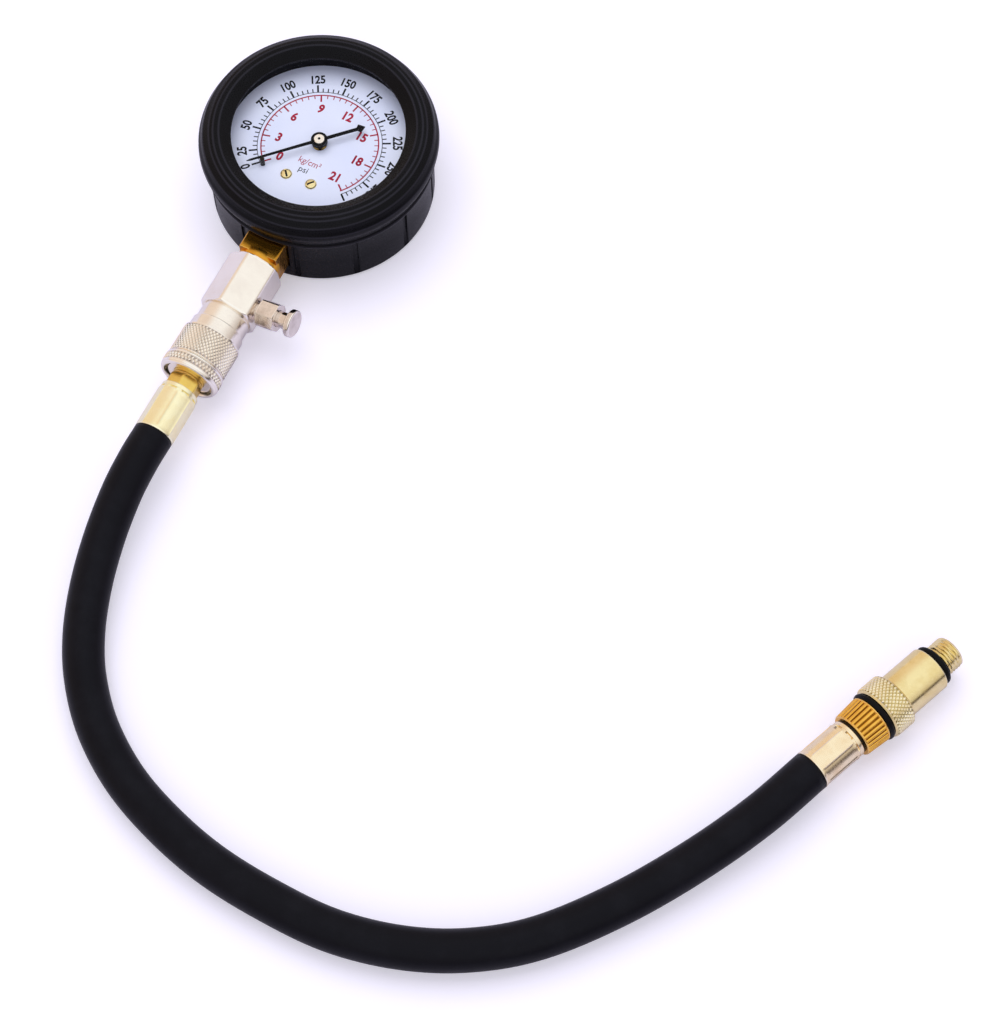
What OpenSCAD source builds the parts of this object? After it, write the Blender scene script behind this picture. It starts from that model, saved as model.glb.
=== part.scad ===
// Compression tester gauge for engine cylinders.
// A dial gauge in a rubber boot lies on its back; its stem screws into a quick coupler
// with a bleed button, and a rubber hose leads to a threaded plug-hole adapter.
// Frame: origin on the back of the boot under the dial centre, +Z out of the dial,
// the stem and the coupler run along -Y.

/* [Gauge case] */
// Outer diameter of the steel case
case_d = 64; // [62:0.5:68]
// Wall thickness of the case
case_wall = 0.8; // [0.6:0.1:1.2]
// Depth of the case from its back to its rim
case_depth = 26.8; // [26.4:0.2:29]
// Thickness of the clear lens
lens_t = 1.6; // [1.2:0.1:2]
// Height of the gasket between dial and lens
gasket_h = 5; // [4.4:0.1:5.2]
// Width of the gasket ring
gasket_w = 2.3; // [1.6:0.1:2.8]
// Thickness of the dial plate
dial_t = 0.8; // [0.5:0.1:1]

/* [Rubber boot] */
// Thickness of the boot behind the case
boot_back = 2.2; // [1.8:0.1:3]
// Wall of the ribbed lower body
boot_wall = 2.4; // [2:0.1:3.5]
// Wall of the thick front ring
boot_ring_wall = 4.4; // [4:0.1:6]
// Height of the front ring, from its lower lip to the case rim
boot_ring_h = 9.6; // [8:0.2:9.6]
// Height of the crest above the case rim
boot_crest = 3; // [2.5:0.1:4]
// Diameter of the window that shows the dial
boot_window_d = 52.6; // [50:0.2:56]
// Thickness of the lip at the window
boot_lip_t = 0.9; // [0.7:0.1:1.4]
// Number of grooves round the lower body
boot_groove_n = 12; // [6:1:18]
// Width of each groove
boot_groove_w = 1.8; // [1:0.1:3]
// Depth of each groove
boot_groove_depth = 0.5; // [0.3:0.1:1]

/* [Stem] */
// Width and height of the square brass stem
stem_w = 12.4; // [11.6:0.2:12.6]
// Height of the stem and coupler axis above the floor
axis_z = 13; // [12.8:0.1:13.2]
// Distance from the dial centre to the end of the square stem
stem_reach = 40.4; // [38.6:0.2:43]
// Diameter of the round collar on the stem
stem_collar_d = 13.8; // [12:0.2:14.6]
// Length of the collar
stem_collar_l = 2; // [1:0.1:3]
// Diameter of the stem thread
stem_thread_d = 9.8; // [9:0.1:10.4]
// Length of the stem thread
stem_thread_l = 7.5; // [6:0.5:7.5]
// Bore through the stem
stem_bore_d = 3; // [2:0.1:3.4]

/* [Pressure tube and movement] */
// Radius of the curved tube's centre line
tube_r = 24.5; // [23.5:0.1:26]
// Width of the flattened tube, across its thin way
tube_w = 3; // [2.4:0.1:3.4]
// Height of the flattened tube
tube_h = 9; // [8:0.2:9.4]
// Wall of the tube
tube_wall = 0.5; // [0.3:0.05:0.7]
// Diameter of the two movement plates
plate_d = 34; // [33:0.2:35]
// Thickness of each plate
plate_t = 0.8; // [0.6:0.1:1]
// Clear height between the plates
plate_space = 4.5; // [4.3:0.1:4.8]
// Gear module of pinion and sector
gear_module = 0.28; // [0.27:0.005:0.29]
// Thickness of the sector
sector_t = 0.8; // [0.6:0.1:1]
// Arm from the sector pivot to the link pin
tail_l = 6.5; // [6:0.1:7]
// Length of the link between its pins
link_l = 9; // [8:0.1:9.4]
// Diameter of the pointer staff
staff_d = 1.2; // [1:0.05:1.4]

/* [Pointer] */
// Angle of the zero mark, counted from +X
zero_angle = 225; // [220:1:230]
// Length of the needle from the centre
needle_l = 23; // [18:0.5:25]
// Length of the tail from the centre
tail_tip_l = 14.6; // [10:0.2:18]
// Diameter of the pointer hub
hub_d = 5; // [4.4:0.1:6]
// Diameter of the bright cap on the hub
cap_d = 3.4; // [2.6:0.1:3.8]
// Distance of the stop pin from the centre
stop_r = 18.4; // [16:0.1:20]
// Diameter of the stop pin
stop_d = 1.4; // [1:0.1:2]
// Distance between the two dial screws
dial_screw_gap = 8.4; // [8:0.2:9.2]
// Distance of the dial screws below the centre
dial_screw_y = 13.8; // [13.5:0.1:14.2]

/* [Quick coupler] */
// Width across flats of the coupler hexagon
hex_af = 16; // [14.6:0.1:17]
// Length of the hexagon
hex_l = 18.4; // [18.4:0.2:22]
// Diameter of the round neck
neck_d = 15.4; // [14.8:0.1:15.8]
// Length of the neck that shows
neck_l = 5.1; // [4.4:0.1:7]
// Diameter of the coupler nose inside the sleeve
nose_d = 12.4; // [12.2:0.1:12.8]
// Wall of the plain collar of the sleeve
sleeve_collar_wall = 0.5; // [0.4:0.05:0.9]
// Length of the plain collar
sleeve_collar_l = 4; // [3:0.1:5]
// Wall of the knurled part of the sleeve
sleeve_wall = 1.4; // [0.8:0.05:1.5]
// Length of the knurled part
sleeve_knurl_l = 10.1; // [10:0.1:12]
// Wall of the wider end ring, over the neck
sleeve_end_wall = 1.7; // [1.2:0.05:2]
// Length of the end ring
sleeve_end_l = 4.7; // [4.2:0.1:6]
// How far the sleeve slides back
sleeve_travel = 3.5; // [2.5:0.1:3.6]
// Diameter of the locking balls
ball_d = 2.2; // [2:0.05:2.3]
// Number of locking balls
ball_n = 6; // [4:1:8]

/* [Bleed button] */
// Turn of the hexagon and the button about the coupler axis
coupler_turn = 8; // [0:1:20]
// Distance of the button axis from the end of the hexagon near the stem
bleed_y = 13.2; // [12.4:0.1:14]
// Width across flats of the bleed valve nut
bleed_af = 8; // [7:0.1:9]
// Length of the nut
bleed_nut_l = 6; // [5.5:0.1:8]
// Length of bare thread under the nut
bleed_thread_gap = 1.2; // [1:0.1:2.5]
// Diameter of the valve thread
bleed_thread_d = 6.4; // [6:0.1:6.6]
// Diameter of the button stem
bleed_stem_d = 5; // [4:0.1:5.2]
// Length of button stem that shows
bleed_stem_l = 3.6; // [3:0.1:5]
// Diameter of the button head
bleed_head_d = 8.5; // [7:0.1:10]
// Thickness of the button head
bleed_head_t = 2; // [1.5:0.1:3]
// Travel of the button
bleed_travel = 2.5; // [1.5:0.1:2.6]

/* [Hose and ferrules] */
// Outer diameter of the hose
hose_d = 12; // [11:0.1:12.2]
// Diameter of the barbs inside the hose ends
barb_d = 6.8; // [6:0.1:7.6]
// Bore through the plug and the fittings
hose_bore_d = 3.5; // [3:0.1:4]
// Width across flats of the plug hexagon
plug_af = 9.2; // [9:0.1:11.6]
// Length of the plug hexagon
plug_hex_l = 4.2; // [3.4:0.1:7]
// Diameter of the plug body in the coupler
plug_d = 9.9; // [9.6:0.05:10]
// Diameter of the plug's front tube
plug_front_d = 7.7; // [7.4:0.05:7.8]
// Diameter of the crimped ferrules
ferrule_d = 12.2; // [12:0.1:13.4]
// Width across the crimped flats
ferrule_af = 11.8; // [11.6:0.1:12]
// Length of the ferrule at the coupler
near_ferrule_l = 15.8; // [12:0.2:20]
// Length of the ferrule at the far end
far_ferrule_l = 14.6; // [12:0.2:20]

/* [Plug-hole end] */
// Small diameter of the fluted ring
flute_d1 = 13.6; // [12.6:0.1:14]
// Large diameter of the fluted ring
flute_d2 = 14.8; // [14.2:0.1:15.6]
// Length of the fluted ring
flute_l = 7.8; // [6:0.1:11]
// Number of flutes
flute_n = 30; // [16:2:36]
// Diameter of the threaded spigot
spigot_d = 9.2; // [8.6:0.1:9.4]
// Length of the spigot
spigot_l = 12; // [11:0.2:13]
// Diameter of the seal between the fluted ring and the adapter
seal_d = 15.7; // [15:0.1:16.4]
// Thickness of that seal
seal_t = 1.8; // [1.4:0.1:2.2]
// Diameter of the knurled collar of the adapter
collar_d = 16.8; // [16:0.1:16.8]
// Length of the knurled collar
collar_l = 7.5; // [6:0.1:12]
// Diameter of the adapter body
adapter_d = 13.7; // [12.6:0.1:14.4]
// Length of the adapter body
adapter_l = 13.9; // [10:0.1:18]
// Diameter of the tip thread
tip_d = 10; // [9.6:0.1:10.4]
// Length of the tip thread
tip_l = 6; // [4:0.1:9]
// Thickness of the tip seal
tip_seal_t = 2; // [1.6:0.1:2.2]
// Bore of the adapter tip
tip_bore_d = 4.4; // [3:0.1:5]
// Diameter of the check valve core
core_d = 5.2; // [4.8:0.1:5.4]
// Length of the core
core_l = 7.8; // [7:0.1:8.6]

/* [Fits] */
// Radial gap of running and sliding fits
run_gap = 0.05; // [0.02:0.01:0.1]
// Gap between fixed pieces
fix_gap = 0.05; // [0.02:0.01:0.1]
// Gap between faces that move past each other
move_gap = 0.3; // [0.2:0.05:0.4]

/* [Hidden] */

// Resolution of round shapes
$fn = 64;
// Overshoot of cutting shapes, and the overlap of shapes joined in one piece
over = 1;
join = 0.01;

// Radii and heights of the gauge, from the floor up
case_r = case_d / 2;
case_in_r = case_r - case_wall;
case_z = boot_back;
rim_z = case_z + case_depth;
lens_z = rim_z - lens_t;
dial_top = lens_z - gasket_h;
dial_z = dial_top - dial_t;
inner_r = case_in_r - fix_gap;
dial_hole_d = 4.4;

// Boot profile
boot_in_r = case_r + fix_gap;
boot_body_r = boot_in_r + boot_wall;
boot_ring_r = boot_in_r + boot_ring_wall;
boot_ring_z = rim_z - boot_ring_h;
boot_lip_z = rim_z + fix_gap;
boot_top = rim_z + boot_crest;
boot_window_r = boot_window_d / 2;
boot_edge = 1.5;
boot_bead_h = 2.1;
boot_bead_inset = 0.9;
boot_bead_groove = 0.5;
boot_crest_w = 5.6;
boot_shoulder_h = 6;
boot_cut_gap = 0.4;
stem_cut_l = 8;

// Stem, inside and outside the case
stem_half = stem_w / 2;
stem_seat_rise = 1.5;
stem_seat_z = axis_z + stem_seat_rise;
stem_inner_y = 8;
stem_step_y = 28.8;
stem_shoulder_y = 21.5;
stem_end = stem_reach + stem_collar_l;
thread_end_gap = 0.5;

// Movement heights, from the seat on the stem up
back_plate_z = stem_seat_z;
space_z = back_plate_z + plate_t;
front_plate_z = space_z + plate_space;
front_top = front_plate_z + plate_t;
sector_lift = 1.5;
sector_z = space_z + sector_lift;
pinion_over = 0.5;
pinion_h = sector_t + 2 * pinion_over;
pinion_z = sector_z - pinion_over;
link_t = 0.7;
link_z = sector_z - move_gap - link_t;
hairspring_h = 0.6;
hairspring_drop = 1.1;
hairspring_z = front_plate_z - hairspring_drop;
pivot_d = 0.9;
arbor_d = 1.8;
end_play = 0.1;

// Small screws and the pillars that they stand in
dial_screw_d = 1.7;
screw_head_d = 3.6;
screw_head_h = 0.9;
screw_slot_w = 0.6;
movement_screw_l = 4.5;
movement_screw_y = dial_screw_y - 4;
pillar_d = 3.6;
peg_d = 2.2;
pillar_hole_l = 2.2;
screw_tip_gap = 0.5;
third_pillar_r = plate_d / 2 - pillar_d;
third_pillar_angle = 150;
pillar_places = [
    [dial_screw_gap / 2, -dial_screw_y],
    [-dial_screw_gap / 2, -dial_screw_y],
    third_pillar_r * [cos(third_pillar_angle), sin(third_pillar_angle)]
];
plate_window = [1.5, 10];
plate_window_d = 7;

// Hairspring, wound from a collet on the pinion to a stud on the front plate
hairspring_collet_d = 2.6;
hairspring_turns = 3;
hairspring_w = 0.2;
hairspring_start_r = hairspring_collet_d / 2 + fix_gap + hairspring_w / 2;
hairspring_end_r = 5.4;
hairspring_stud_d = 0.8;

// Gear geometry; the sector pivot lies at an angle round the dial centre
pinion_teeth = 10;
sector_teeth = 80;
pinion_r = gear_module * pinion_teeth / 2;
sector_r = gear_module * sector_teeth / 2;
sector_angle = -5;
sector_pos = (pinion_r + sector_r) * [cos(sector_angle), sin(sector_angle)];
addendum = 0.8 * gear_module;
dedendum = 1.1 * gear_module;
pointer_turn = 270;
sector_turn = pointer_turn * pinion_teeth / sector_teeth;
sector_pitch = 360 / sector_teeth;
teeth_before = ceil(sector_turn / sector_pitch) + 2;
teeth_after = 2;
sector_hub_d = 4;

// Link from the sector's tail to the tip of the pressure tube
tail_angle = -sector_turn / 2;
link_pin = sector_pos + tail_l * [cos(tail_angle), sin(tail_angle)];
tip_pin = link_pin + [0, link_l];
tip_pin_r = norm(tip_pin);
link_pin_d = 1.2;
link_w = 2.4;

// Pressure tube, clockwise from its root in the stem to its tip at the link
lug_y = 1.6;
lug_w = 1.8;
lug_t = 1.2;
lug_x = sqrt(tip_pin_r * tip_pin_r - lug_y * lug_y);
tip_cap_l = 3.6;
tube_root_angle = 260;
tube_end_angle = atan2(tip_pin.y, tip_pin.x) + asin(lug_y / tip_pin_r);
tube_drop = 4;
tube_z = stem_seat_z - tube_drop;
tube_port_d = 2;
tube_slot_gap = 0.2;
tube_slot_angle = 25;

// Pointer heights
pointer_lift = 2.2;
pointer_z = dial_top + pointer_lift;
pointer_t = 0.4;
hub_lift = 1.6;
hub_z = dial_top + hub_lift;
hub_h = 1.4;
cap_seat_h = 1;
cap_z = hub_z + cap_seat_h;
cap_h = 0.7;
needle_tip_w = 0.55;
needle_root_w = 1;
needle_point_l = 1.2;
needle_stop_share = stop_r / (needle_l - needle_point_l);
needle_stop_w = needle_root_w + (needle_tip_w - needle_root_w) * needle_stop_share;
spade_w = 2.9;
spade_l = 2.6;
spade_neck_l = 0.8;
stop_h = 3;
stop_gap = 0.1;
stop_offset = asin(((stop_d + needle_stop_w) / 2 + stop_gap) / stop_r);

// Coupler stations along its axis, counted from the dial centre
hex_s = stem_end;
neck_s = hex_s + hex_l;
sleeve_s = neck_s + neck_l;
knurl_s = sleeve_s + sleeve_collar_l;
sleeve_end_s = knurl_s + sleeve_knurl_l;
sleeve_tip_s = sleeve_end_s + sleeve_end_l;
hex_r = hex_af / 2 / cos(30);
hex_chamfer = 0.9;
neck_r = neck_d / 2;
neck_cut = 0.5;
nose_r = nose_d / 2;
sleeve_bore_r = neck_r + run_gap;
land_bore_r = nose_r + run_gap;
guide_l = 3.6;
shoulder_s = sleeve_s + guide_l;
spring_solid_l = 3.4;
land_s = shoulder_s + sleeve_travel + spring_solid_l;
land_l = 4.2;
ring_s = land_s + land_l + move_gap;
ring_t = 0.7;
ring_depth = 0.5;
ring_wall = 1.2;
nose_inset = 0.8;
nose_s = sleeve_tip_s - nose_inset;
mouth_gap = 1.1;
mouth_r = nose_r + mouth_gap;
ball_s = land_s + land_l / 2;
ball_r = ball_d / 2;
ball_pos_r = nose_r - run_gap - ball_r;
ball_groove_gap = 0.08;
passage_d = 6;

// Plug stations; it runs in the bore of the nose
plug_r = plug_d / 2;
plug_front_r = plug_front_d / 2;
nose_bore_r = plug_r + run_gap;
front_bore_r = plug_front_r + run_gap;
plug_step_gap = 4.7;
plug_step_s = ball_s - plug_step_gap;
front_bore_l = 6;
front_bore_s = plug_step_s - front_bore_l;
plug_tip_s = front_bore_s + move_gap;
coupler_seal_d = 1.5;
coupler_seal_depth = 3.5;
coupler_seal_s = front_bore_s + coupler_seal_depth;
seal_groove_r = plug_front_r + coupler_seal_d + 2 * fix_gap;
seal_groove_play = 0.2;
seal_groove_w = coupler_seal_d + seal_groove_play;
seal_groove_s = coupler_seal_s - seal_groove_w / 2;
plug_hex_s = sleeve_tip_s + move_gap;
ferrule_s = plug_hex_s + plug_hex_l;
hose_s = ferrule_s + near_ferrule_l;
plug_chamfer = 0.7;

// Bleed valve stations, counted outwards from the coupler axis
bleed_s = hex_s + bleed_y;
flat_x = hex_af / 2;
bleed_seat_x = 3.6;
bleed_nut_x = flat_x + bleed_thread_gap;
bleed_face_x = bleed_nut_x + bleed_nut_l;
bleed_head_x = bleed_face_x + bleed_stem_l;
bleed_socket_l = 5.2;
bleed_floor_x = bleed_face_x - bleed_socket_l;
bleed_spring_solid_l = 0.6;
bleed_shank_x = bleed_floor_x + bleed_travel + bleed_spring_solid_l;
bleed_pin_d = 2.2;
bleed_chamfer = 0.5;
bleed_seal_d = 4.4;
bleed_seal_t = 1.4;

// Route of the hose, from the coupler ferrule to the far ferrule
route = [
    [0, -105, 13], [0, -114, 13], [0.6, -125, 12.2], [2.6, -139, 10.4], [6.2, -153.5, 8.6],
    [11.5, -167, 7.2], [18.6, -178.5, 6.3], [29, -189.5, 6], [43, -199, 6], [58.5, -205.5, 6],
    [75.5, -210, 6], [94, -212, 6], [114, -212, 6], [133, -208, 6], [150, -200.5, 6],
    [165.5, -189, 6], [181, -171, 6.2], [194.5, -151, 7.2], [205, -132, 8.4], [212.6, -114, 8.4]
];
hose_start = [0, -hose_s, axis_z];
hose_path = concat([hose_start], [for (i = [1:len(route) - 1]) route[i]]);
hose_sides = 12;
far_pos = route[len(route) - 1];
far_run = far_pos - route[len(route) - 2];
far_angle = atan2(far_run.y, far_run.x);

// Far end stations along the far axis, counted from the end of the hose
groove_t = far_ferrule_l;
groove_l = 0.8;
groove_depth = 2.2;
flute_t = groove_t + groove_l;
flute_end_t = flute_t + flute_l;
adapter_t = flute_end_t + seal_t + 2 * fix_gap;
body_t = adapter_t + collar_l;
tip_seal_pos_t = body_t + adapter_l;
tip_t = tip_seal_pos_t + tip_seal_t + 2 * fix_gap;
adapter_end_t = tip_t + tip_l;
tip_neck_depth = 0.7;
tip_neck_r = tip_d / 2 - tip_neck_depth;
spigot_end_t = flute_end_t + spigot_l;
core_t = spigot_end_t - core_l;
check_pin_d = 1;
check_chamber_d = 2.5;
check_head_d = check_chamber_d - 2 * move_gap;
check_head_t = 0.9;
check_guide_l = 4;
check_floor_t = core_t + check_guide_l;
check_poppet_d = hose_bore_d - 2 * move_gap;
check_poppet_t = 0.7;
check_seal_t = 0.4;

// Points on an elliptic arc about c, from angle a0 to a1 in n steps
function arc(c, rx, ry, a0, a1, n) =
    [for (i = [0:n]) let (a = a0 + (a1 - a0) * i / n) [c.x + rx * cos(a), c.y + ry * sin(a)]];

// One gear tooth about angle a, as points from root to tip and back
function tooth(r, pitch, a) = [
    for (p = [[-dedendum, -0.29], [addendum, -0.11], [addendum, 0.11], [-dedendum, 0.29]])
        (r + p.x) * [cos(a + p.y * pitch), sin(a + p.y * pitch)]
];

// Frame of the coupler: local Z runs along -Y from the dial centre
module along_stem() {
    translate([0, 0, axis_z]) rotate([90, 0, 0]) children();
}

// Frame of the bleed valve: local Z runs out sideways from the coupler axis
module along_bleed() {
    translate([0, -bleed_s, axis_z]) rotate([0, 90 - coupler_turn, 0]) children();
}

// Frame of the far end: local Z runs along the far axis from the end of the hose
module along_far() {
    translate(far_pos) rotate([0, 0, far_angle]) rotate([0, 90, 0]) children();
}

// Cylinder between two stations on local Z
module rod(d, z0, z1) {
    translate([0, 0, z0]) cylinder(d = d, h = z1 - z0);
}

// Ring of rectangular section between two stations
module tube(r_out, r_in, z0, z1) {
    rotate_extrude() translate([r_in, z0]) square([r_out - r_in, z1 - z0]);
}

// Hexagon bar with chamfered ends, flats towards local X
module hex_bar(af, z0, z1, chamfer) {
    r = af / 2 / cos(30);
    intersection() {
        translate([0, 0, z0]) rotate([0, 0, 30]) cylinder(r = r, h = z1 - z0, $fn = 6);
        rotate_extrude() polygon([
            [0, z0], [r - chamfer, z0], [r, z0 + chamfer * 0.6],
            [r, z1 - chamfer * 0.6], [r - chamfer, z1], [0, z1]
        ]);
    }
}

// Flattened section of the pressure tube
module flat_section(w, h) {
    square([w, h - w], center = true);
    for (s = [-1, 1]) translate([0, s * (h - w) / 2]) circle(d = w);
}

// Swept ring about the centre line of the pressure tube
module tube_sweep_of(w, h, a0, a1) {
    translate([0, 0, tube_z]) rotate([0, 0, a0]) rotate_extrude(angle = a1 - a0)
        translate([tube_r, 0]) flat_section(w, h);
}

// Closed tube swept through points, with a flat face across each end
module swept_tube(path, r, sides, closed_frame) {
    n = len(path);
    function dir(i) = let (d = path[min(i + 1, n - 1)] - path[max(i - 1, 0)]) d / norm(d);
    function side(i) = let (v = cross(dir(i), closed_frame)) v / norm(v);
    points = [
        for (i = [0:n - 1], k = [0:sides - 1])
            let (a = 360 * k / sides, u = side(i), w = cross(u, dir(i)))
                path[i] + r * (cos(a) * u + sin(a) * w)
    ];
    walls = [
        for (i = [0:n - 2], k = [0:sides - 1])
            let (a = i * sides + k, b = i * sides + (k + 1) % sides) [a, b, b + sides, a + sides]
    ];
    caps = [[for (k = [sides - 1:-1:0]) k], [for (k = [0:sides - 1]) (n - 1) * sides + k]];
    polyhedron(points, concat(walls, caps), convexity = 10);
}

// Coil spring on local Z
module coil_spring(mean_d, wire_d, z0, z1, turns) {
    steps = 14 * turns;
    rise = z1 - z0 - wire_d;
    path = [
        for (i = [0:steps]) let (a = 360 * turns * i / steps)
            [mean_d / 2 * cos(a), mean_d / 2 * sin(a), z0 + wire_d / 2 + rise * i / steps]
    ];
    swept_tube(path, wire_d / 2, 6, [0, 0, 1]);
}

// Rubber ring of round section
module o_ring(mean_r, section_d, z) {
    rotate_extrude() translate([mean_r, z]) circle(d = section_d);
}

// Crimped ferrule: a turned sleeve pressed to eight flats, with a collar at its fitting end
module ferrule(z0, z1, collar_at_start) {
    r = ferrule_d / 2;
    collar = 1.2;
    cut = 0.7;
    dip = 0.5;
    c0 = collar_at_start ? z0 + collar : z0;
    c1 = collar_at_start ? z1 : z1 - collar;
    g0 = collar_at_start ? c0 : c1 - cut;
    difference() {
        union() {
            intersection() {
                rod(ferrule_d, c0, c1);
                translate([0, 0, c0]) rotate([0, 0, 22.5])
                    cylinder(d = ferrule_af / cos(22.5), h = c1 - c0, $fn = 8);
            }
            rod(ferrule_d - dip, collar_at_start ? z0 : c1, collar_at_start ? c0 : z1);
        }
        tube(r + over, ferrule_af / 2 - dip, g0, g0 + cut);
        rod(barb_d + 2 * fix_gap, z0 - over, z1 + over);
    }
}

// Gauge

module rubber_boot() {
    bead_r = boot_ring_r - boot_bead_inset;
    crest = [boot_ring_r - boot_crest_w, boot_top - boot_shoulder_h];
    lip_top = boot_lip_z + boot_lip_t;
    lip_edge = 0.3;
    boot_cut_w = stem_w + 2 * boot_cut_gap;
    color("#1c1c22") difference() {
        rotate_extrude() polygon(concat(
            [[0, 0]],
            arc([boot_body_r - boot_edge, boot_edge], boot_edge, boot_edge, -90, 0, 5),
            [[boot_body_r, boot_ring_z]],
            arc([bead_r - boot_bead_h / 2, boot_ring_z + boot_bead_h / 2],
                boot_bead_h / 2, boot_bead_h / 2, -80, 45, 5),
            [[bead_r - boot_bead_groove, boot_ring_z + boot_bead_h]],
            arc(crest, boot_crest_w, boot_shoulder_h - boot_bead_h, -25, 0, 3),
            arc(crest, boot_crest_w, boot_shoulder_h, 10, 90, 9),
            arc([crest.x, lip_top], crest.x - boot_window_r - 2 * lip_edge,
                boot_top - lip_top, 105, 170, 6),
            [[boot_window_r, lip_top - lip_edge]],
            [[boot_window_r, boot_lip_z], [boot_in_r, boot_lip_z]],
            [[boot_in_r, case_z - fix_gap], [0, case_z - fix_gap]]
        ));
        for (i = [0:boot_groove_n - 1])
            rotate([0, 0, -90 + (i + 0.5) * 360 / boot_groove_n])
                translate([boot_body_r - boot_groove_depth, -boot_groove_w / 2, boot_edge])
                    cube([boot_groove_depth + over, boot_groove_w, boot_ring_z - boot_edge]);
        translate([-boot_cut_w / 2, -boot_ring_r - over, axis_z - boot_cut_w / 2])
            cube([boot_cut_w, boot_ring_r - case_r + stem_cut_l, boot_cut_w]);
    }
}

module gauge_case() {
    edge = 1.6;
    color("#26262a") difference() {
        rotate_extrude() polygon(concat(
            [[0, case_z]],
            arc([case_r - edge, case_z + edge], edge, edge, -90, 0, 5),
            [[case_r, rim_z], [case_in_r, rim_z]],
            arc([case_in_r - edge, case_z + case_wall + edge], edge, edge, 0, -90, 5),
            [[0, case_z + case_wall]]
        ));
        translate([-stem_half - fix_gap, -case_r - over, axis_z - stem_half - fix_gap])
            cube([stem_w + 2 * fix_gap, stem_cut_l, stem_w + 2 * fix_gap]);
    }
}

module lens() {
    bevel = 0.3;
    color("#e8f2f4", 0.4) rotate_extrude() polygon([
        [0, lens_z], [inner_r, lens_z], [inner_r, rim_z - bevel],
        [inner_r - bevel, rim_z], [0, rim_z]
    ]);
}

module lens_gasket() {
    color("#202024") tube(inner_r, inner_r - gasket_w, dial_top, lens_z);
}

module dial_plate() {
    color("#e4e2f5") difference() {
        rod(2 * inner_r, dial_z, dial_top);
        rod(dial_hole_d, dial_z - over, dial_top + over);
        for (s = [-1, 1]) translate([s * dial_screw_gap / 2, -dial_screw_y, 0])
            rod(dial_screw_d + 2 * fix_gap, dial_z - over, dial_top + over);
        rotate([0, 0, zero_angle + stop_offset]) translate([stop_r, 0, 0])
            rod(stop_d + 2 * fix_gap, dial_z - over, dial_top + over);
    }
}

// Slotted round-head screw standing on local Z = z, pointing down
module slotted_screw(z, shank_l, turn) {
    rotate([0, 0, turn]) difference() {
        rotate_extrude() polygon(concat(
            [[0, z - shank_l], [dial_screw_d / 2, z - shank_l]],
            [[dial_screw_d / 2, z], [screw_head_d / 2, z]],
            arc([0, z], screw_head_d / 2, screw_head_h, 15, 90, 5)
        ));
        translate([-screw_head_d, -screw_slot_w / 2, z + screw_head_h / 2])
            cube([2 * screw_head_d, screw_slot_w, screw_head_h]);
    }
}

module dial_screws() {
    shank_l = dial_top - front_plate_z + pillar_hole_l - screw_tip_gap;
    color("#c79a3a") for (s = [-1, 1]) translate([s * dial_screw_gap / 2, -dial_screw_y, 0])
        slotted_screw(dial_top, shank_l, 50 * s);
}

module dial_spacers() {
    color("#c9a24a") for (s = [-1, 1]) translate([s * dial_screw_gap / 2, -dial_screw_y, 0])
        tube(pillar_d / 2, dial_screw_d / 2 + fix_gap, front_top, dial_z);
}

module stop_pin() {
    color("#8d8d92") rotate([0, 0, zero_angle + stop_offset]) translate([stop_r, 0, 0])
        rod(stop_d, dial_z, dial_top + stop_h);
}

module pointer() {
    spade_x = spade_l - spade_neck_l - tail_tip_l;
    color("#141418") difference() {
        union() {
            rod(hub_d, hub_z, hub_z + hub_h);
            translate([0, 0, pointer_z]) linear_extrude(pointer_t) rotate(zero_angle) polygon([
                [0, needle_root_w / 2], [needle_l - needle_point_l, needle_tip_w / 2], [needle_l, 0],
                [needle_l - needle_point_l, -needle_tip_w / 2], [0, -needle_root_w / 2],
                [spade_x + spade_neck_l, -needle_root_w / 2], [spade_x, -spade_w / 2],
                [-tail_tip_l, 0],
                [spade_x, spade_w / 2], [spade_x + spade_neck_l, needle_root_w / 2]
            ]);
        }
        rod(staff_d + 2 * fix_gap, hub_z - over, hub_z + hub_h + over);
        rod(cap_d + 2 * fix_gap, cap_z, hub_z + hub_h + over);
    }
}

module pointer_cap() {
    dot_d = 0.9;
    dot_h = 0.25;
    edge = 0.3;
    color("#c8c8cc") difference() {
        rotate_extrude() polygon(concat(
            [[0, cap_z], [cap_d / 2, cap_z]],
            arc([cap_d / 2 - edge, cap_z + cap_h - edge], edge, edge, 0, 90, 3),
            [[0, cap_z + cap_h]]
        ));
        rod(dot_d, cap_z + cap_h - dot_h, cap_z + cap_h + over);
    }
}

// Movement

module pinion_arbor() {
    pitch = 360 / pinion_teeth;
    color("#b9a46a") {
        rod(pivot_d, back_plate_z + end_play, space_z + end_play);
        rod(arbor_d, space_z + end_play, front_plate_z - end_play);
        rod(staff_d, front_plate_z - end_play, cap_z - fix_gap);
        rod(hairspring_collet_d, hairspring_z, hairspring_z + hairspring_h);
        translate([0, 0, pinion_z]) linear_extrude(pinion_h) rotate(sector_angle + pitch / 2)
            polygon([for (i = [0:pinion_teeth - 1]) each tooth(pinion_r, pitch, i * pitch)]);
    }
}

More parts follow.
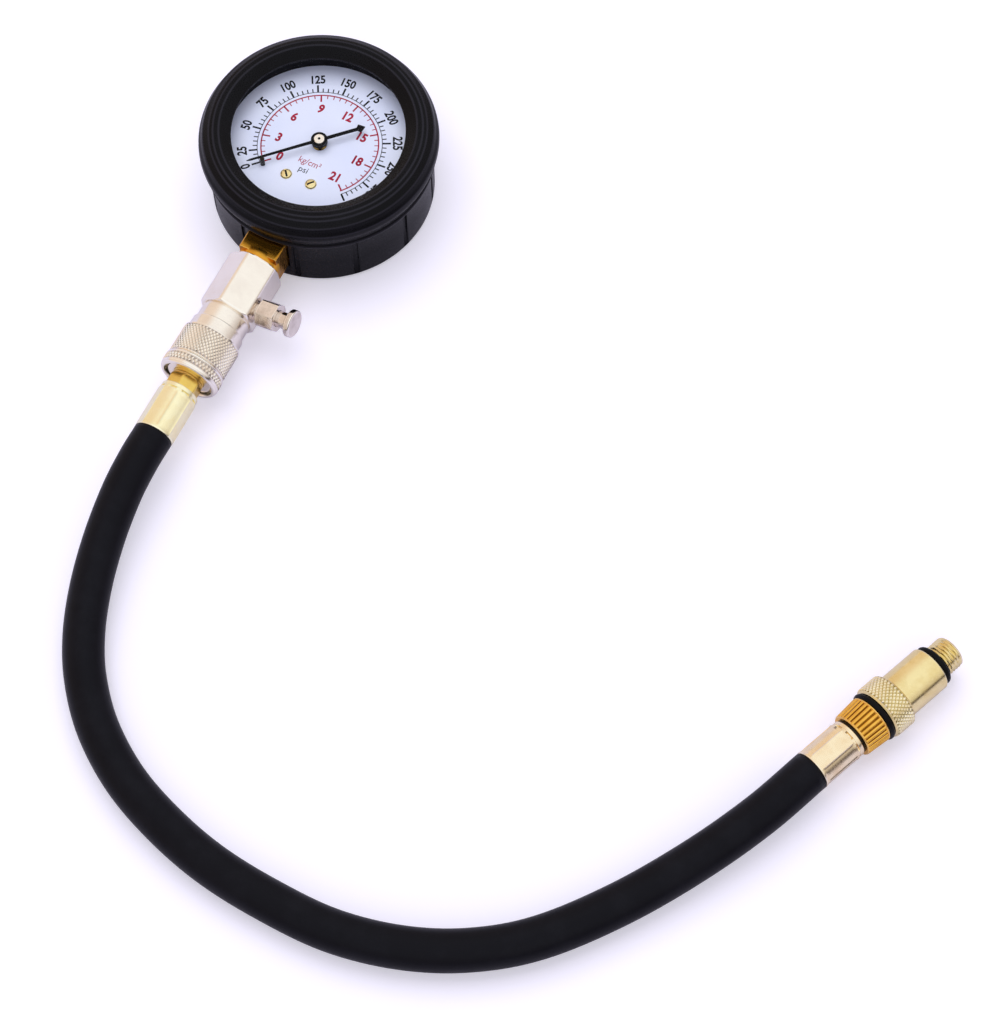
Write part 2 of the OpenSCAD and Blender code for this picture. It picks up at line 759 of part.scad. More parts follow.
module sector_gear() {
    dir = sector_angle + 180;
    web_r = sector_r - dedendum;
    color("#c9a24a") translate([sector_pos.x, sector_pos.y, 0]) {
        rod(pivot_d, back_plate_z + end_play, front_top - end_play);
        rod(arbor_d, space_z + end_play, front_plate_z - end_play);
        translate([0, 0, sector_z]) linear_extrude(sector_t) {
            difference() {
                rotate(dir) polygon(concat(
                    [[0, 0]],
                    [for (i = [-teeth_before:teeth_after])
                        each tooth(sector_r, sector_pitch, i * sector_pitch)]
                ));
                rotate(dir - sector_turn / 2) translate([web_r * 0.62, 0]) circle(d = web_r * 0.36);
            }
            circle(d = sector_hub_d);
            difference() {
                rotate(tail_angle) {
                    translate([0, -link_w / 2]) square([tail_l, link_w]);
                    translate([tail_l, 0]) circle(d = link_w);
                }
                rotate(tail_angle) translate([tail_l, 0]) circle(d = link_pin_d + 2 * run_gap);
            }
        }
    }
}

module hairspring() {
    steps = 24 * hairspring_turns;
    function spiral(i, side) =
        let (a = 360 * hairspring_turns * i / steps,
             r = hairspring_start_r + (hairspring_end_r - hairspring_start_r) * i / steps)
            (r + side * hairspring_w / 2) * [cos(a), sin(a)];
    color("#b48a3c") translate([0, 0, hairspring_z]) linear_extrude(hairspring_h) polygon(concat(
        [for (i = [0:steps]) spiral(i, 1)],
        [for (i = [steps:-1:0]) spiral(i, -1)]
    ));
}

// Round movement plate with holes for the pillars and the two pivots
module movement_plate(z, pinion_hole_d) {
    difference() {
        rod(plate_d, z, z + plate_t);
        for (p = pillar_places) translate([p.x, p.y, 0])
            rod(peg_d + 2 * fix_gap, z - over, z + plate_t + over);
        rod(pinion_hole_d, z - over, z + plate_t + over);
        translate([sector_pos.x, sector_pos.y, 0])
            rod(pivot_d + 2 * run_gap, z - over, z + plate_t + over);
        translate([plate_window.x, plate_window.y, 0])
            rod(plate_window_d, z - over, z + plate_t + over);
    }
}

module movement_back_plate() {
    color("#c2b280") difference() {
        movement_plate(back_plate_z, pivot_d + 2 * run_gap);
        for (s = [-1, 1]) translate([s * dial_screw_gap / 2, -movement_screw_y, 0])
            rod(dial_screw_d + 2 * fix_gap, back_plate_z - over, space_z + over);
    }
}

module movement_front_plate() {
    stud_x = hairspring_end_r + (hairspring_w + hairspring_stud_d) / 2 + fix_gap;
    color("#c2b280") {
        movement_plate(front_plate_z, staff_d + 2 * run_gap);
        translate([stud_x, 0, 0]) rod(hairspring_stud_d, hairspring_z, front_plate_z + join);
    }
}

module movement_pillars() {
    color("#c9a24a") for (p = pillar_places) translate([p.x, p.y, 0]) difference() {
        union() {
            rod(pillar_d, space_z, front_plate_z);
            rod(peg_d, back_plate_z, space_z + join);
            rod(peg_d, front_plate_z - join, front_top);
        }
        rod(dial_screw_d + 2 * fix_gap, front_plate_z - pillar_hole_l, front_top + over);
    }
}

module movement_screws() {
    color("#8d8d92") for (s = [-1, 1]) translate([s * dial_screw_gap / 2, -movement_screw_y, 0])
        slotted_screw(space_z, movement_screw_l, 0);
}

module pressure_tube() {
    color("#b98d3c") difference() {
        tube_sweep_of(tube_w, tube_h, tube_end_angle, tube_root_angle);
        tube_sweep_of(
            tube_w - 2 * tube_wall, tube_h - 2 * tube_wall,
            tube_end_angle - over, tube_root_angle + over
        );
    }
}

module tube_tip() {
    cap_w = tube_w + 1;
    cap_low = tube_z - tube_h / 2;
    lug_top = link_z - move_gap;
    cap_top = lug_top - move_gap;
    color("#c9a24a") rotate([0, 0, tube_end_angle]) {
        translate([tube_r - cap_w / 2, -fix_gap - tip_cap_l, cap_low])
            cube([cap_w, tip_cap_l, cap_top - cap_low]);
        translate([lug_x, -lug_y, lug_top - lug_t]) linear_extrude(lug_t) difference() {
            union() {
                circle(d = link_w);
                translate([0, -lug_w / 2]) square([tube_r - lug_x, lug_w]);
            }
            circle(d = link_pin_d + 2 * run_gap);
        }
    }
}

module link() {
    pin_top = link_t + move_gap + sector_t + 0.2;
    color("#b9a46a") translate([link_pin.x, link_pin.y, link_z]) rotate([0, 0, 90]) difference() {
        union() {
            translate([0, -link_w / 2, 0]) cube([link_l, link_w, link_t]);
            rod(link_w, 0, link_t);
            translate([link_l, 0, 0]) rod(link_w, 0, link_t);
            rod(link_pin_d, 0, pin_top);
        }
        translate([link_l, 0, 0]) rod(link_pin_d + 2 * run_gap, -over, link_t + over);
    }
}

// Stem and quick coupler

module stem_block() {
    stem_low = case_z + case_wall + fix_gap;
    movement_hole_z = space_z - movement_screw_l - screw_tip_gap;
    color("#b8801f") difference() {
        union() {
            translate([-stem_half, -stem_reach, axis_z - stem_half])
                cube([stem_w, stem_reach - stem_shoulder_y, stem_w]);
            translate([-stem_half, -stem_step_y - join, stem_low])
                cube([stem_w, stem_step_y - stem_inner_y, stem_seat_z - stem_low]);
            along_stem() {
                rod(stem_collar_d, stem_reach - join, stem_end);
                rod(stem_thread_d, stem_end - join, stem_end + stem_thread_l);
            }
        }
        along_stem() rod(stem_bore_d, tube_r - over, stem_end + stem_thread_l + over);
        translate([0, -tube_r + over / 2, axis_z]) rotate([0, -90, 0])
            rod(tube_port_d, 0, stem_half - over);
        tube_sweep_of(
            tube_w + 2 * fix_gap, tube_h + 2 * fix_gap,
            tube_root_angle - tube_slot_angle, tube_root_angle + tube_slot_gap
        );
        for (s = [-1, 1]) translate([s * dial_screw_gap / 2, -movement_screw_y, 0])
            rod(dial_screw_d + 2 * fix_gap, movement_hole_z, stem_seat_z + over);
    }
}

module coupler_body() {
    hole_l = stem_thread_l + thread_end_gap;
    color("#d8cfc8") difference() {
        along_stem() {
            rotate([0, 0, coupler_turn]) hex_bar(hex_af, hex_s, neck_s, hex_chamfer);
            rod(neck_d, neck_s - join, shoulder_s);
            rod(nose_d, shoulder_s - join, nose_s);
        }
        along_stem() {
            rod(stem_thread_d + 2 * fix_gap, hex_s - over, hex_s + hole_l);
            rod(passage_d, hex_s, front_bore_s + over);
            rod(2 * front_bore_r, front_bore_s, plug_step_s + over);
            rod(2 * nose_bore_r, plug_step_s, nose_s + over);
            rod(2 * seal_groove_r, seal_groove_s, seal_groove_s + seal_groove_w);
            tube(nose_r + over, nose_r - ring_depth, ring_s, ring_s + ring_t);
            tube(neck_r + over, neck_r - neck_cut, neck_s + join, neck_s + neck_cut);
            translate([0, 0, ball_s]) for (i = [0:ball_n - 1]) rotate([0, 90, 360 * i / ball_n])
                cylinder(d = ball_d + 2 * run_gap, h = nose_r + over);
        }
        along_bleed() {
            rod(bleed_thread_d + 2 * fix_gap, bleed_seat_x, hex_r + over);
            rod(bleed_seal_d + 2 * move_gap, 0, bleed_seat_x + join);
        }
    }
}

module coupler_sleeve() {
    knurl_r = sleeve_bore_r + sleeve_wall;
    collar_r = sleeve_bore_r + sleeve_collar_wall;
    end_r = sleeve_bore_r + sleeve_end_wall;
    round_r = 1.1;
    slit = 0.35;
    edge = 0.3;
    color("#d2cac4") along_stem() rotate_extrude() polygon(concat(
        [[sleeve_bore_r, sleeve_s], [collar_r - edge, sleeve_s], [collar_r, sleeve_s + edge]],
        [[collar_r, knurl_s - edge], [knurl_r, knurl_s], [knurl_r, sleeve_end_s - slit]],
        [[knurl_r - slit, sleeve_end_s - slit], [knurl_r - slit, sleeve_end_s]],
        [[end_r - slit, sleeve_end_s], [end_r, sleeve_end_s + slit]],
        arc([end_r - round_r, sleeve_tip_s - round_r], round_r, round_r, 0, 90, 5),
        [[mouth_r, sleeve_tip_s], [mouth_r, land_s + land_l]],
        [[land_bore_r, land_s + land_l], [land_bore_r, land_s], [sleeve_bore_r, land_s]]
    ));
}

module sleeve_spring() {
    mean_d = nose_r + sleeve_bore_r;
    wire_d = (sleeve_bore_r - nose_r) / 2;
    turns = 4;
    color("#8d8d92") along_stem()
        coil_spring(mean_d, wire_d, shoulder_s + fix_gap, land_s - fix_gap, turns);
}

module locking_balls() {
    color("#b5b5ba") along_stem() translate([0, 0, ball_s]) for (i = [0:ball_n - 1])
        rotate([0, 90, 360 * i / ball_n]) translate([0, 0, ball_pos_r]) sphere(d = ball_d);
}

module retaining_ring() {
    gap_angle = 24;
    color("#2a2a2c") along_stem() rotate([0, 0, 90 + gap_angle / 2])
        rotate_extrude(angle = 360 - gap_angle)
            translate([nose_r - ring_depth + fix_gap, ring_s + fix_gap / 2])
                square([ring_wall, ring_t - fix_gap]);
}

module coupler_seal() {
    color("#1b1b1d") along_stem()
        o_ring(plug_front_r + coupler_seal_d / 2 + fix_gap, coupler_seal_d, coupler_seal_s);
}

// Bleed button

module bleed_valve_body() {
    color("#cfc6bf") along_bleed() difference() {
        union() {
            rod(bleed_thread_d, bleed_seat_x + fix_gap, bleed_nut_x + join);
            hex_bar(bleed_af, bleed_nut_x, bleed_face_x, bleed_chamfer);
        }
        rod(bleed_stem_d + 2 * run_gap, bleed_floor_x, bleed_face_x + over);
        rod(bleed_pin_d + 2 * run_gap, 0, bleed_face_x);
    }
}

module bleed_button() {
    pin_r = bleed_pin_d / 2;
    stem_r = bleed_stem_d / 2;
    head_r = bleed_head_d / 2;
    head_top = bleed_head_x + bleed_head_t;
    flange = 0.5;
    flange_x = bleed_seat_x - bleed_seal_t - fix_gap;
    edge = 0.3;
    color("#d8cfc8") along_bleed() rotate_extrude() polygon([
        [0, flange_x - flange], [pin_r + flange, flange_x - flange], [pin_r + flange, flange_x],
        [pin_r, flange_x], [pin_r, bleed_shank_x], [stem_r, bleed_shank_x], [stem_r, bleed_head_x],
        [head_r - edge, bleed_head_x], [head_r, bleed_head_x + edge],
        [head_r, head_top - edge], [head_r - edge, head_top], [0, head_top]
    ]);
}

module bleed_spring() {
    mean_d = (bleed_pin_d + bleed_stem_d) / 2;
    wire_d = 0.5;
    turns = 3;
    color("#9a9a9e") along_bleed()
        coil_spring(mean_d, wire_d, bleed_floor_x + fix_gap, bleed_shank_x - fix_gap, turns);
}

module bleed_seal() {
    color("#1b1b1d") along_bleed() tube(
        bleed_seal_d / 2, bleed_pin_d / 2 + fix_gap,
        bleed_seat_x - bleed_seal_t, bleed_seat_x - fix_gap
    );
}

// Hose with its plug and ferrules

module hose_plug() {
    groove_r = ball_r + ball_groove_gap;
    color("#d9b04a") along_stem() difference() {
        union() {
            rod(plug_front_d, plug_tip_s, plug_step_s + move_gap + join);
            rod(plug_d, plug_step_s + move_gap, plug_hex_s + join);
            hex_bar(plug_af, plug_hex_s, ferrule_s - fix_gap, plug_chamfer);
            rod(barb_d, ferrule_s - fix_gap - join, hose_s - fix_gap);
        }
        rod(hose_bore_d, plug_tip_s - over, hose_s + over);
        rotate_extrude() translate([ball_pos_r, ball_s]) circle(r = groove_r);
    }
}

module near_ferrule() {
    color("#e8d48a") along_stem() ferrule(ferrule_s, hose_s - fix_gap, true);
}

module hose() {
    color("#1a1a1c") swept_tube(hose_path, hose_d / 2, hose_sides, [0, 0, 1]);
}

module far_ferrule() {
    color("#e6c99a") along_far() ferrule(fix_gap, far_ferrule_l, false);
}

// Plug-hole end

module end_fitting() {
    cone_a = atan2((flute_d2 - flute_d1) / 2, flute_l);
    flute_depth = 0.35;
    flute_cut_d = 0.9;
    color("#e0a53a") along_far() difference() {
        union() {
            rod(barb_d, fix_gap, groove_t + fix_gap);
            rod(flute_d1 - 2 * groove_depth, groove_t + fix_gap, flute_t + join);
            translate([0, 0, flute_t]) cylinder(d1 = flute_d1, d2 = flute_d2, h = flute_l);
            rod(spigot_d, flute_end_t - join, spigot_end_t);
        }
        rod(hose_bore_d, -over, core_t + over);
        rod(core_d + 2 * fix_gap, core_t, spigot_end_t + over);
        for (i = [0:flute_n - 1]) rotate([0, 0, 360 * i / flute_n])
            translate([(flute_d1 + flute_cut_d) / 2 - flute_depth, 0, flute_t])
                rotate([0, cone_a, 0]) rod(flute_cut_d, -over, flute_l + over, $fn = 16);
    }
}

module fitting_seal() {
    color("#151517") along_far()
        o_ring(seal_d / 2 - seal_t / 2, seal_t, flute_end_t + fix_gap + seal_t / 2);
}

module check_valve_core() {
    color("#cfae55") along_far() difference() {
        rod(core_d, core_t + fix_gap, spigot_end_t);
        rod(check_chamber_d, check_floor_t, spigot_end_t + over);
        rod(check_pin_d + 2 * run_gap, core_t - over, spigot_end_t + over);
    }
}

module check_valve_pin() {
    poppet_top = core_t - check_seal_t;
    head_low = spigot_end_t - check_head_t;
    color("#c8c8cc") along_far() {
        rod(check_pin_d, poppet_top - join, head_low + join);
        rod(check_head_d, head_low, spigot_end_t);
        rod(check_poppet_d, poppet_top - check_poppet_t, poppet_top);
    }
}

module check_valve_spring() {
    mean_d = (check_pin_d + check_chamber_d) / 2;
    wire_d = 0.3;
    turns = 3;
    head_low = spigot_end_t - check_head_t;
    color("#9a9a9e") along_far()
        coil_spring(mean_d, wire_d, check_floor_t + fix_gap, head_low - fix_gap, turns);
}

module check_valve_seal() {
    color("#1b1b1d") along_far() tube(
        check_poppet_d / 2, check_pin_d / 2 + fix_gap,
        core_t - check_seal_t + fix_gap, core_t
    );
}

module adapter() {
    collar_r = collar_d / 2;
    body_r = adapter_d / 2;
    tip_r = tip_d / 2;
    bevel = 0.7;
    edge = 0.4;
    color("#e6d896") along_far() difference() {
        rotate_extrude() polygon([
            [0, adapter_t], [collar_r - bevel, adapter_t], [collar_r, adapter_t + bevel],
            [collar_r, body_t - bevel], [collar_r - bevel, body_t], [body_r, body_t],
            [body_r, tip_seal_pos_t - edge], [body_r - edge, tip_seal_pos_t],
            [tip_neck_r, tip_seal_pos_t], [tip_neck_r, tip_t - edge], [tip_r, tip_t + edge],
            [tip_r, adapter_end_t - bevel], [tip_r - bevel, adapter_end_t], [0, adapter_end_t]
        ]);
        rod(spigot_d + 2 * fix_gap, adapter_t - over, spigot_end_t + thread_end_gap);
        rod(tip_bore_d, adapter_t, adapter_end_t + over);
    }
}

module tip_seal() {
    color("#151517") along_far() o_ring(
        tip_neck_r + tip_seal_t / 2 + fix_gap, tip_seal_t,
        tip_seal_pos_t + fix_gap + tip_seal_t / 2
    );
}

rubber_boot();
gauge_case();
lens();
lens_gasket();
dial_plate();
dial_screws();
dial_spacers();
stop_pin();
pointer();
pointer_cap();
pinion_arbor();
sector_gear();
hairspring();
movement_back_plate();
movement_front_plate();
movement_pillars();
movement_screws();
pressure_tube();
tube_tip();
link();
stem_block();
coupler_body();
coupler_sleeve();
sleeve_spring();
locking_balls();
retaining_ring();
coupler_seal();
bleed_valve_body();
bleed_button();
bleed_spring();
bleed_seal();
hose_plug();
near_ferrule();
hose();
far_ferrule();
end_fitting();
fitting_seal();
check_valve_core();
check_valve_pin();
check_valve_spring();
check_valve_seal();
adapter();
tip_seal();
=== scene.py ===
# %% [markdown]
# # A compression tester gauge, finished in Blender
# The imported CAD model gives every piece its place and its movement. This lesson loads it as a
# fixed frame, keeps the box it fills, and then gives each visible piece its real surface.
# All sizes below are written in millimetres and turned into metres where a mesh is made.

# %% Load the frame
import math
import bpy
import bmesh
from mathutils import Matrix, Vector


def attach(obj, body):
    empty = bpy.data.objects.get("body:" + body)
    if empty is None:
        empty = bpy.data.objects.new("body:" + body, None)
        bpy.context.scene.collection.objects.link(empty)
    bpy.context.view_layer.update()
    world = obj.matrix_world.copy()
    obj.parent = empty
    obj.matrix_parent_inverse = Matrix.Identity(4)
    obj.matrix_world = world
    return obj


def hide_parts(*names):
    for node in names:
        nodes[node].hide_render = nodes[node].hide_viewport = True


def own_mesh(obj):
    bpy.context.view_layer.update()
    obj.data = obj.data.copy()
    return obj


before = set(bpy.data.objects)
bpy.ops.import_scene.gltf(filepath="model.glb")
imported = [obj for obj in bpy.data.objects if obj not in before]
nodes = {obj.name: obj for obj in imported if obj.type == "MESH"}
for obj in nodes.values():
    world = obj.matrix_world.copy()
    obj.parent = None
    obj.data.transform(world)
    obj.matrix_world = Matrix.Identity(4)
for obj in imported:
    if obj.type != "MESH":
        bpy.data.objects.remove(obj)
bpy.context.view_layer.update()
scene = bpy.context.scene
MM = 0.001

# %% [markdown]
# The photograph looks down on the tool from the front right, from far enough away that the
# hose shows hardly any perspective. A camera is placed on a sphere round a point on the floor:
# two angles and a distance say everything, and a long lens gives the flat look.

# %% Camera
def linked(name, data):
    """New object of the scene with this data."""
    item = bpy.data.objects.new(name, data)
    scene.collection.objects.link(item)
    return item


LOOK_AT = Vector((99.2, -77.1, 0.0)) * MM
ELEVATION = math.radians(64.58)
AZIMUTH = math.radians(26.1)
DISTANCE = 761 * MM

camera_data = bpy.data.cameras.new("camera")
camera_data.sensor_width = 36
camera_data.lens = 91.4
camera_data.clip_start = 0.01
camera = linked("camera", camera_data)
camera.location = LOOK_AT + DISTANCE * Vector((
    math.sin(AZIMUTH) * math.cos(ELEVATION),
    -math.cos(AZIMUTH) * math.cos(ELEVATION),
    math.sin(ELEVATION)))
camera.rotation_euler = (LOOK_AT - camera.location).to_track_quat("-Z", "Y").to_euler()
scene.camera = camera
print("camera at", [round(x, 3) for x in camera.location])

# %% [markdown]
# A turned part, a hexagon bar, a crimped ferrule and a thread are all a profile carried round
# an axis, and only the radius differs from angle to angle. So one lathe serves them all: it
# takes the outline as stations along the axis with their radii, rounds the corners a little,
# because no real edge is sharp, and lets a shape function press flats or cut a thread.
# The mesh keeps a UV map in metres and an attribute that marks the rounded edges, where
# handling wears a finish first, and where the boot's rubber also takes a painted highlight.

# %% Axes of the pieces
def axis_frame(origin, along, side):
    along = Vector(along).normalized()
    side = Vector(side).normalized()
    return Vector(origin), along, side, along.cross(side)


HEX_TURN = math.radians(8)  # of the coupler's hexagon, and so of the bleed valve
FAR_ANGLE = math.atan2(-114 + 132, 212.6 - 205)  # of the hose's last stretch
DIAL = axis_frame((0, 0, 0), (0, 0, 1), (1, 0, 0))
STEM = axis_frame((0, 0, 13), (0, -1, 0), (1, 0, 0))
BLEED = axis_frame((0, -55.6, 13), (math.cos(HEX_TURN), 0, math.sin(HEX_TURN)),
                   (math.sin(HEX_TURN), 0, -math.cos(HEX_TURN)))
FAR = axis_frame((212.6, -114, 8.4), (math.cos(FAR_ANGLE), math.sin(FAR_ANGLE), 0), (0, 0, -1))
print("far end points", [round(x, 3) for x in FAR[1]])


# %% Rounded outline
SLIGHT_BEND = 0.2  # radians; a corner that bends less stays as it is
SHORT_REACH = 0.01  # mm; likewise where there is no room to ease it
CORNER_POINTS = 4
MOST = 0.45  # share of a side that its corner may take


def rounded(outline, radius, closed):
    """Outline with its corners eased; a third number marks the middle of each outer corner."""
    count = len(outline)
    area = sum(outline[i - 1][0] * outline[i][1] - outline[i][0] * outline[i - 1][1]
               for i in range(count))
    eased = []
    for i, (s, r) in enumerate(outline):
        if not closed and i in (0, count - 1):
            eased.append((s, r, 0.0))
            continue
        here = Vector((s, r))
        back = Vector(outline[i - 1]) - here
        ahead = Vector(outline[(i + 1) % count]) - here
        turn = back.cross(ahead) * (1 if area > 0 else -1)
        reach = min(radius, MOST * back.length, MOST * ahead.length)
        bend = math.pi - back.angle(ahead)
        if bend < SLIGHT_BEND or reach < SHORT_REACH:
            eased.append((s, r, 0.0))
            continue
        a = here + back.normalized() * reach
        b = here + ahead.normalized() * reach
        for k in range(CORNER_POINTS):
            t = k / (CORNER_POINTS - 1)
            point = a * (1 - t) ** 2 + here * 2 * t * (1 - t) + b * t ** 2
            eased.append((point.x, point.y, 1.0 if turn < 0 and 0 < t < 1 else 0.0))
    return eased


print("a square corner eases to", len(rounded([(0, 0), (0, 5), (5, 5)], 0.3, False)), "points")


# %% Meshes and long stretches
SHARP = math.radians(38)


def as_object(name, mesh, outward=True):
    """Object made of a bmesh, with its faces turned outwards if need be."""
    if outward:
        bmesh.ops.recalc_face_normals(mesh, faces=mesh.faces)
    data = bpy.data.meshes.new(name)
    mesh.to_mesh(data)
    mesh.free()
    return linked(name, data)


def evaluated_mesh(item):
    """New mesh of an object as its modifiers, or its text, make it."""
    return bpy.data.meshes.new_from_object(
        item.evaluated_get(bpy.context.evaluated_depsgraph_get()))


def spoke(side, third, angle):
    """Direction at an angle round an axis, from its two cross directions."""
    return side * math.cos(angle) + third * math.sin(angle)


def quad(mesh, uv, corners):
    """Smooth face of (vertex, u, v) corners; a vertex that comes twice counts once."""
    kept = [c for i, c in enumerate(corners) if c[0] not in [d[0] for d in corners[:i]]]
    if len(kept) > 2:
        face = mesh.faces.new([c[0] for c in kept])
        face.smooth = True
        for loop, c in zip(face.loops, kept):
            loop[uv].uv = c[1:]


def divided(points, step, closed):
    """Outline with more stations, so that no stretch is longer than a step in mm."""
    fine = []
    for i, (s, r, w) in enumerate(points):
        fine.append((s, r, w))
        if i + 1 < len(points) or closed:
            s1, r1, w1 = points[(i + 1) % len(points)]
            cuts = int(math.hypot(s1 - s, r1 - r) / step)
            fine += [(s + (s1 - s) * k / (cuts + 1), r + (r1 - r) * k / (cuts + 1), 0.0)
                     for k in range(1, cuts + 1)]
    return fine


print("5 mm takes", len(divided([(0, 1, 0), (5, 1, 0)], 1, False)), "stations, 1 mm apart")


# %% Lathe
def turned(name, axis, outline, ease, around=96, shape=None, step=None):
    """Carry an outline of (station, radius) in mm round an axis and return the object."""
    closed = outline[0][1] > 0
    points = rounded(outline, ease, closed)
    if step:
        points = divided(points, step, closed)
    angles = around if isinstance(around, list) else [
        math.tau * k / around for k in range(around)]
    origin, along, side, third = axis
    mesh = bmesh.new()
    wear_and_highlight = mesh.verts.layers.float.new("wear_and_highlight")
    uv = mesh.loops.layers.uv.new("UVMap")
    rings = []
    for s, r, w in points:
        ring = []
        for a in angles if r > 1e-6 else [0.0]:
            radius = shape(a, s, r) if shape and r > 1e-6 else r
            place = origin + along * s + spoke(side, third, a) * radius
            vert = mesh.verts.new(place * MM)
            vert[wear_and_highlight] = w
            ring.append(vert)
        rings.append(ring)
    widest = max(r for s, r, w in points) * MM
    run = 0.0
    for j in range(len(points) if closed else len(points) - 1):
        low, high = rings[j], rings[(j + 1) % len(rings)]
        (s, r, w), (s1, r1, w1) = points[j], points[(j + 1) % len(points)]
        reach = run + math.hypot(s1 - s, r1 - r) * MM
        for k in range(len(angles)):
            n = (k + 1) % len(angles)
            u0 = angles[k] * widest
            u1 = (angles[n] if n else angles[0] + math.tau) * widest
            quad(mesh, uv, [
                (low[k % len(low)], u0, run), (low[n % len(low)], u1, run),
                (high[n % len(high)], u1, reach), (high[k % len(high)], u0, reach)])
        run = reach
    piece = as_object(name, mesh)
    piece.data.set_sharp_from_angle(angle=SHARP)
    return piece


def arc(s, r, reach_s, reach_r, start, end, steps):
    """Points of an elliptic arc in an outline, angles in degrees from the radius direction."""
    turns = [math.radians(start + (end - start) * k / steps) for k in range(steps + 1)]
    return [(s + reach_s * math.sin(a), r + reach_r * math.cos(a)) for a in turns]


def flats(count, across, turn, corner, low=-math.inf, high=math.inf):
    """Shape function: press the profile to that many flats between two stations."""
    part = math.tau / count

    def press(a, s, r):
        off = (a - turn + part / 2) % part - part / 2
        return min(r, across / 2 / math.cos(off), corner) if low < s < high else r
    return press


print("lathe ready")

# %% [markdown]
# The hose leaves the ferrule straight, sinks to the floor and runs round in one wide bend to the
# far ferrule. The photograph shows it from end to end, so its length is the length of this
# route. A smooth curve is drawn through the same points that the CAD solid follows, and a
# round tube is swept along it; a swept mesh keeps an even UV map for the rubber's grain.

# %% Hose
ROUTE = [(0, -105, 13), (0, -114, 13), (0.6, -125, 12.2), (2.6, -139, 10.4), (6.2, -153.5, 8.6),
         (11.5, -167, 7.2), (18.6, -178.5, 6.3), (29, -189.5, 6), (43, -199, 6), (58.5, -205.5, 6),
         (75.5, -210, 6), (94, -212, 6), (114, -212, 6), (133, -208, 6), (150, -200.5, 6),
         (165.5, -189, 6), (181, -171, 6.2), (194.5, -151, 7.2), (205, -132, 8.4),
         (212.6, -114, 8.4)]
HOSE_D = 12


def smooth_route(points, steps):
    """Catmull-Rom curve through the points, in metres."""
    knots = [Vector(p) * MM for p in points]
    knots = [2 * knots[0] - knots[1]] + knots + [2 * knots[-1] - knots[-2]]
    line = []
    for i in range(1, len(knots) - 2):
        p0, p1, p2, p3 = knots[i - 1:i + 3]
        for k in range(steps):
            t = k / steps
            line.append(0.5 * (2 * p1 + (p2 - p0) * t + (2 * p0 - 5 * p1 + 4 * p2 - p3) * t ** 2
                               + (3 * p1 - p0 - 3 * p2 + p3) * t ** 3))
    return line + [knots[-2]]


def swept(name, line, radius, sides, upright=Vector((0, 0, 1))):
    """Round tube along a line, closed at both ends, with a UV map in metres."""
    mesh = bmesh.new()
    uv = mesh.loops.layers.uv.new("UVMap")
    rings, runs, run = [], [], 0.0
    for i, point in enumerate(line):
        heading = (line[min(i + 1, len(line) - 1)] - line[max(i - 1, 0)]).normalized()
        across = heading.cross(upright).normalized()
        up = across.cross(heading)
        run += (point - line[i - 1]).length if i else 0.0
        runs.append(run)
        rings.append([mesh.verts.new(point + radius * spoke(across, up, math.tau * k / sides))
                      for k in range(sides)])
    for low, high, start, end in zip(rings, rings[1:], runs, runs[1:]):
        for k in range(sides):
            n = (k + 1) % sides
            u0, u1 = (math.tau * radius * x / sides for x in (k, k + 1))
            quad(mesh, uv, [(low[k], u0, start), (low[n], u1, start),
                            (high[n], u1, end), (high[k], u0, end)])
    mesh.faces.new(rings[0])
    mesh.faces.new(rings[-1])
    return as_object(name, mesh), run


hose_line = smooth_route(ROUTE, 8)
rubber_hose, hose_length = swept("rubber_hose", hose_line, HOSE_D / 2 * MM, 32)
print("hose is", round(hose_length * 1000, 1), "mm long")

# %% [markdown]
# The floor is a plain pale sheet and the light is soft and high. The camera sees the floor
# almost everywhere, so the white of the picture is the floor's own colour with a little glow
# for camera and lens rays, and the shadow of the tool stays on it. Mirror rays get none of that
# glow, so that the lower flats of the nickel stay grey. The world is white too. Mirror rays see
# a studio wall that is a little darker at its foot and on the left, and a dark flag that stands
# low on the right: it draws the dark line along a polished cylinder.

# %% Nodes and colours
def add(tree, kind, inputs=None, **settings):
    """Add one node; an input is a value, a socket, or a node for its first output in use.

    A short kind such as Math is a ShaderNode, which geometry trees use too."""
    node = tree.nodes.new(kind if "Node" in kind else "ShaderNode" + kind)
    for key, value in settings.items():
        setattr(node, key, value)
    for key, value in (inputs or {}).items():
        if isinstance(value, bpy.types.Node):
            value = next(output for output in value.outputs if output.enabled)
        if isinstance(value, bpy.types.NodeSocket):
            tree.links.new(value, node.inputs[key])
        else:
            node.inputs[key].default_value = value
    return node


def rgb(code):
    """sRGB hex to the linear colour that a shader takes."""
    parts = [int(code[i:i + 2], 16) / 255 for i in (1, 3, 5)]
    return [x / 12.92 if x <= 0.04045 else ((x + 0.055) / 1.055) ** 2.4 for x in parts] + [1.0]


def new_material(name):
    material = bpy.data.materials.new(name)
    material.use_nodes = True
    material.node_tree.nodes.clear()
    return material, material.node_tree


print("mid grey is", round(rgb("#808080")[0], 3))

# %% World
AMBIENT = 0.62
world = bpy.data.worlds.new("studio")
world.use_nodes = True
scene.world = world
tree = world.node_tree
tree.nodes.clear()
path = add(tree, "LightPath")
coord = add(tree, "TexCoord")
heading = add(tree, "SeparateXYZ", {0: coord.outputs["Generated"]})
wall = add(tree, "ValToRGB", {0: heading.outputs["Z"]})
foot, top = wall.color_ramp.elements
foot.color = rgb("#b9aeaa")
top.position = 0.7
top.color = rgb("#ffffff")
wall.color_ramp.elements.new(0.3).color = rgb("#ded6d2")
towards = add(tree, "VectorMath", {
    0: coord.outputs["Generated"], 1: (0.92, -0.39, 0.0)}, operation="DOT_PRODUCT")
beside = add(tree, "MapRange", {0: towards, 1: 0.7, 2: 0.9})
below = add(tree, "MapRange", {0: heading.outputs["Z"], 1: 0.25, 2: 0.13})
shade = add(tree, "Math", {0: beside, 1: below}, operation="MULTIPLY")
